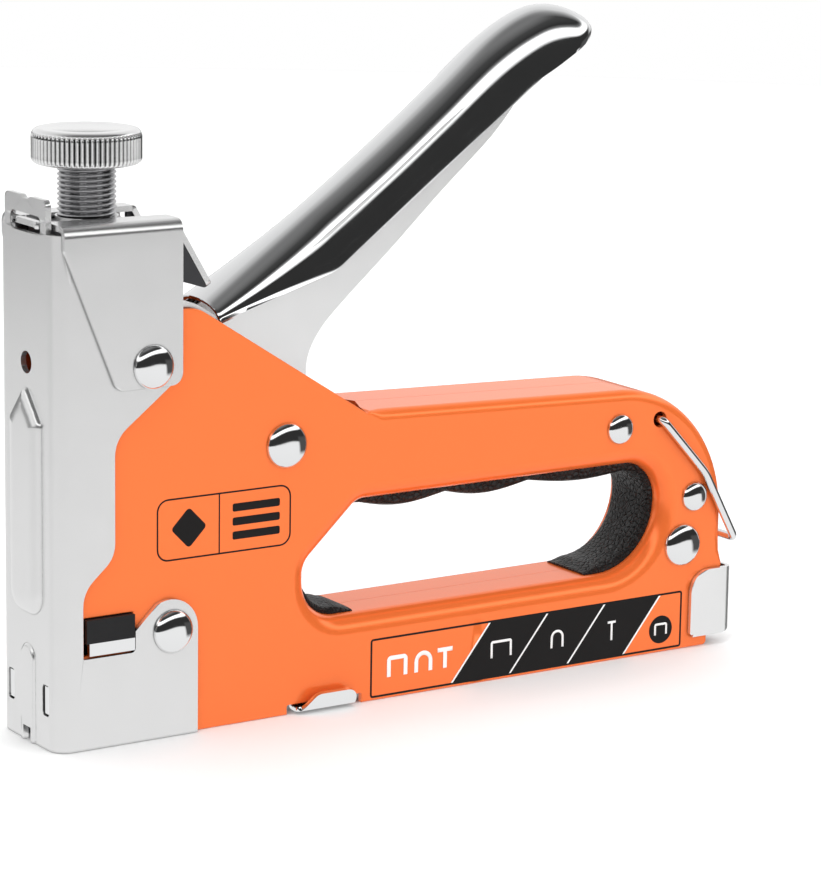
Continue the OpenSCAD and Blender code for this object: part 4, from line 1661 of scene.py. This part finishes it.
@dataclass
class ReleaseTabs:
    """Sprung tabs that free the magazine, with a turned-up finger lip."""

    wall: float = 0.9
    inner_y: float = 8.9
    parts: int = 40

    def build(self) -> None:
        """Makes both tabs."""
        low, high = low_high("left_latch")
        out = -low.y
        path = smooth_line([(self.inner_y, high.z), (self.inner_y, 4.0), (self.inner_y + 0.1, 1.3),
                            (self.inner_y + 1.0, 0.62), (out - 2.6, 0.62), (out - 1.5, 1.2),
                            (out - 0.55, 4.25)], 6)
        line = even_line(path, self.parts)
        length = sum(math.dist(a, b) for a, b in zip(line, line[1:]))

        def place(x: float, s: float) -> Point3:
            """Bends a point of the flat tab to its place.

            Args:
                x: distance behind the tool's front.
                s: distance along the tab's section.

            Returns:
                The point in space.
            """
            t = max(0.0, min(1.0, s / length)) * self.parts
            i = min(int(t), self.parts - 1)
            a, b = line[i], line[i + 1]
            return (x, -(a[0] + (b[0] - a[0]) * (t - i)), a[1] + (b[1] - a[1]) * (t - i))

        outline = split_long(rounded([(low.x, 0), (high.x, 0), (high.x, length, 2.4),
                                      (low.x + 4.2, length, 2.6), (low.x, length - 4.4, 1.2)]), 1.0)
        folds = [[(low.x - 1, length * k / self.parts), (high.x + 1, length * k / self.parts)]
                 for k in range(1, self.parts)]
        form = Form().fill([outline], place, folds)
        for side, shape in (("left", form), ("right", form.mirrored())):
            piece = make(f"{side}_release_tab", shape, CHROME, f"{side}_latch", [f"{side}_latch"], sharp=50)
            face_out(piece, (60, -200 if side == "left" else 200, -60))
            sheet_edges(piece, thickness=self.wall, rim=0.2)


# ---------------------------------------------------------------- stage


FRONT_BANDS = ((0.0, 0.88), (0.42, 0.92), (0.44, 0.90), (0.458, 0.03), (0.67, 0.03), (0.695, 1.0),
               (0.72, 1.6), (0.80, 1.6), (0.83, 0.20), (0.86, 0.03), (0.93, 0.06), (1.0, 0.20))
BACK_BANDS = ((0.0, 0.88), (0.41, 0.88), (0.44, 0.12), (0.49, 0.12), (0.53, 0.95), (0.74, 0.84), (0.88, 0.72),
              (0.95, 0.45), (1.0, 0.16))
FLAG_BAND = ((0.0, 0.0), (0.27, 0.0), (0.33, 1.0), (0.50, 1.0), (0.54, 0.0))


def grey(shade: float) -> Point3:
    """A neutral colour."""
    return (shade, shade, shade)


@dataclass
class Studio:
    """Pale floor, soft lights and the camera."""

    eye: Point3 = (-319.81, -622.58, 213.68)
    yaw: float = -33.493
    pitch: float = 12.275
    roll: float = 0.911
    lens: float = 143.04
    air: float = 0.66
    backdrop: float = 1.0
    flag: float = 0.08
    floor_r: float = 1.25
    aim: Point3 = (0.085, 0.0, 0.07)

    def camera(self) -> None:
        """Places the camera."""
        a, e, r = (math.radians(v) for v in (self.yaw, self.pitch, self.roll))
        back = Vector((math.sin(a) * math.cos(e), -math.cos(a) * math.cos(e), math.sin(e)))
        right = Vector((0, 0, 1)).cross(back).normalized()
        up = back.cross(right)
        right, up = (math.cos(r) * right + math.sin(r) * up, -math.sin(r) * right + math.cos(r) * up)
        data = bpy.data.cameras.new("view")
        data.lens, data.sensor_width = self.lens, 36.0
        data.clip_start, data.clip_end = 0.01, 50.0
        view = bpy.data.objects.new("view", data)
        turn = Matrix((right, up, back)).transposed().to_4x4()
        view.matrix_world = Matrix.Translation(Vector(self.eye) * MM) @ turn
        bpy.context.scene.collection.objects.link(view)
        bpy.context.scene.camera = view

    def floor(self) -> None:
        """Makes the pale floor."""
        mesh = bpy.data.meshes.new("floor")
        rounds = [[(r * math.cos(math.tau * k / 96), r * math.sin(math.tau * k / 96), 0.0) for k in range(96)]
                  for r in np.linspace(0.02, self.floor_r, 12)]
        form = Form().grid(rounds, close_cols=True)
        form.add(rounds[0], [range(96)])
        mesh.from_pydata(form.points, [], form.faces)
        material = bpy.data.materials.new("pale_floor")
        material.use_nodes = True
        kit = Nodes(material.node_tree)
        shader = kit.tree.nodes["Principled BSDF"]
        pale = kit.mix(kit.noise(3, 2), grey(0.90), grey(0.93))
        kit.link(pale, shader.inputs["Base Color"])
        shader.inputs["Roughness"].default_value = 0.6
        mesh.materials.append(material)
        floor = bpy.data.objects.new("floor", mesh)
        floor.location.z = CAD_BOX[0][2] - 0.0001
        floor.visible_glossy = False
        bpy.context.scene.collection.objects.link(floor)

    def _light(self, name: str, at: Point3, size: Point2, power: float) -> None:
        """A soft rectangular light that looks at the tool and that no mirror shows.

        Args:
            name: the light's name.
            at: its place in metres.
            size: its width and height in metres.
            power: its power in watts.
        """
        data = bpy.data.lights.new(name, "AREA")
        data.shape, data.energy = "RECTANGLE", power
        data.size, data.size_y = size
        light = bpy.data.objects.new(name, data)
        light.location = at
        aim = Vector(self.aim) - Vector(at)
        light.rotation_mode = "QUATERNION"
        light.rotation_quaternion = aim.to_track_quat("-Z", "Y")
        light.visible_glossy = False
        bpy.context.scene.collection.objects.link(light)

    def lights(self) -> None:
        """Makes the soft lights."""
        self._light("overhead", (0.1, 0.15, 2.2), (4.0, 4.0), 43)
        self._light("key", (0.0, -0.1, 1.2), (0.5, 0.5), 2.2)
        self._light("front_left", (-0.9, -0.75, 0.75), (0.7, 0.7), 3.0)
        self._light("front_right", (0.75, -1.05, 0.55), (0.5, 0.7), 3.5)
        self._light("rear", (0.5, 1.1, 0.7), (0.9, 0.6), 3.5)

    def world(self) -> None:
        """Makes the surrounding studio: plain and pale, with dark bands and a flag for mirrors alone."""
        world = bpy.data.worlds.new("studio")
        world.use_nodes = True
        bpy.context.scene.world = world
        kit = Nodes(world.node_tree)
        spot, part = kit.new("ShaderNodeTexCoord"), kit.new("ShaderNodeSeparateXYZ")
        kit.link(spot.outputs["Generated"], part.inputs[0])
        height = kit.span(part.outputs["Z"], 0.0, 1.0, -1.0, 1.0)
        front = self._bands(kit, height, FRONT_BANDS)
        back = self._bands(kit, height, BACK_BANDS)
        glossy = kit.mix(kit.span(part.outputs["Y"], 0.0, 1.0, -0.15, 0.35), front, back)
        glossy = kit.mix(self._flag(kit, spot.outputs["Generated"], height), glossy, grey(self.flag))
        path = kit.new("ShaderNodeLightPath")
        both = kit.mix(path.outputs["Is Glossy Ray"], grey(self.air), glossy)
        shown = kit.mix(path.outputs["Is Camera Ray"], both, grey(self.backdrop))
        kit.link(shown, kit.tree.nodes["Background"].inputs["Color"])

    def _flag(self, kit: "Nodes", way: bpy.types.NodeSocket,
              height: bpy.types.NodeSocket) -> bpy.types.NodeSocket:
        """Mask of a dark upright flag that stands to the right, low down.

        Args:
            kit: node helper of the world.
            way: the direction looked in.
            height: 0 straight down, 1 straight up.

        Returns:
            The mask socket.
        """
        dot = kit.new("ShaderNodeVectorMath")
        dot.operation = "DOT_PRODUCT"
        dot.inputs[1].default_value = (0.966, -0.259, 0.0)
        kit.link(way, dot.inputs[0])
        both = kit.new("ShaderNodeMath")
        both.operation = "MULTIPLY"
        kit.link(kit.span(dot.outputs["Value"], 0.0, 1.0, 0.85, 0.90), both.inputs[0])
        kit.link(self._bands(kit, height, FLAG_BAND), both.inputs[1])
        return both.outputs[0]

    @staticmethod
    def _bands(kit: "Nodes", height: bpy.types.NodeSocket,
               stops: Sequence[Point2]) -> bpy.types.NodeSocket:
        """Grey bands stacked from the ground up.

        Args:
            kit: node helper of the world.
            height: 0 straight down, 1 straight up.
            stops: pairs of height and brightness.

        Returns:
            The colour socket.
        """
        bands = kit.new("ShaderNodeValToRGB")
        while len(bands.color_ramp.elements) < len(stops):
            bands.color_ramp.elements.new(0.5)
        for element, (at, shade) in zip(bands.color_ramp.elements, stops):
            element.position, element.color = at, (*grey(shade), 1)
        kit.link(height, bands.inputs["Fac"])
        return bands.outputs["Color"]

    @staticmethod
    def tone() -> None:
        """Shows colours as they are, without a film curve."""
        bpy.context.scene.view_settings.view_transform = "Standard"

    def build(self) -> None:
        """Makes the whole stage."""
        self.camera()
        self.floor()
        self.lights()
        self.world()
        self.tone()


# ---------------------------------------------------------------- assembly


CARRIED: dict[str, tuple[Finish, float]] = {
    "lever_slot_guard": (SATIN, 0.25), "nose_guide": (CHROME, 0.25), "bumper": (BLOCK, 0.5),
    "bumper_saddle": (CHROME, 0.55), "magazine_channel": (SATIN, 0.15), "screw_nut": (STEEL, 0.3),
    "nose_spacer": (STEEL, 0.2), "axle_sleeve": (STEEL, 0.2), "handle_spacer": (STEEL, 0.2),
    "rear_spacer_small": (STEEL, 0.2), "rear_spacer_large": (STEEL, 0.2),
    "latch_leaf_springs": (STEEL, 0.0), "lever_arm": (PALE, 0.3), "lifter_pin": (STEEL, 0.2),
    "hammer": (STEEL, 0.3), "driver_blade": (STEEL, 0.15), "blade_rivets": (STEEL, 0.15),
    "spring_cup": (STEEL, 0.2), "spring_seat": (STEEL, 0.3), "magazine_rail": (SATIN, 0.15),
    "guide_rod": (STEEL, 0.2), "pusher": (STEEL, 0.2),
}


def main() -> None:
    """Builds the stage and every sub-assembly in order."""
    logging.basicConfig(level=logging.INFO, format="%(name)s: %(message)s")
    plan = BodyPlan()
    Studio().build()
    for part in (Shells(plan), Grip(plan), Label(plan), NoseCover(), Bracket(), EndCap(), Rivets(),
                 LeverCover(), PowerScrew(), Springs(), Bail(), ReleaseTabs()):
        part.build()
    Dresser(CARRIED).dress()


if __name__ == "__main__":
    main()
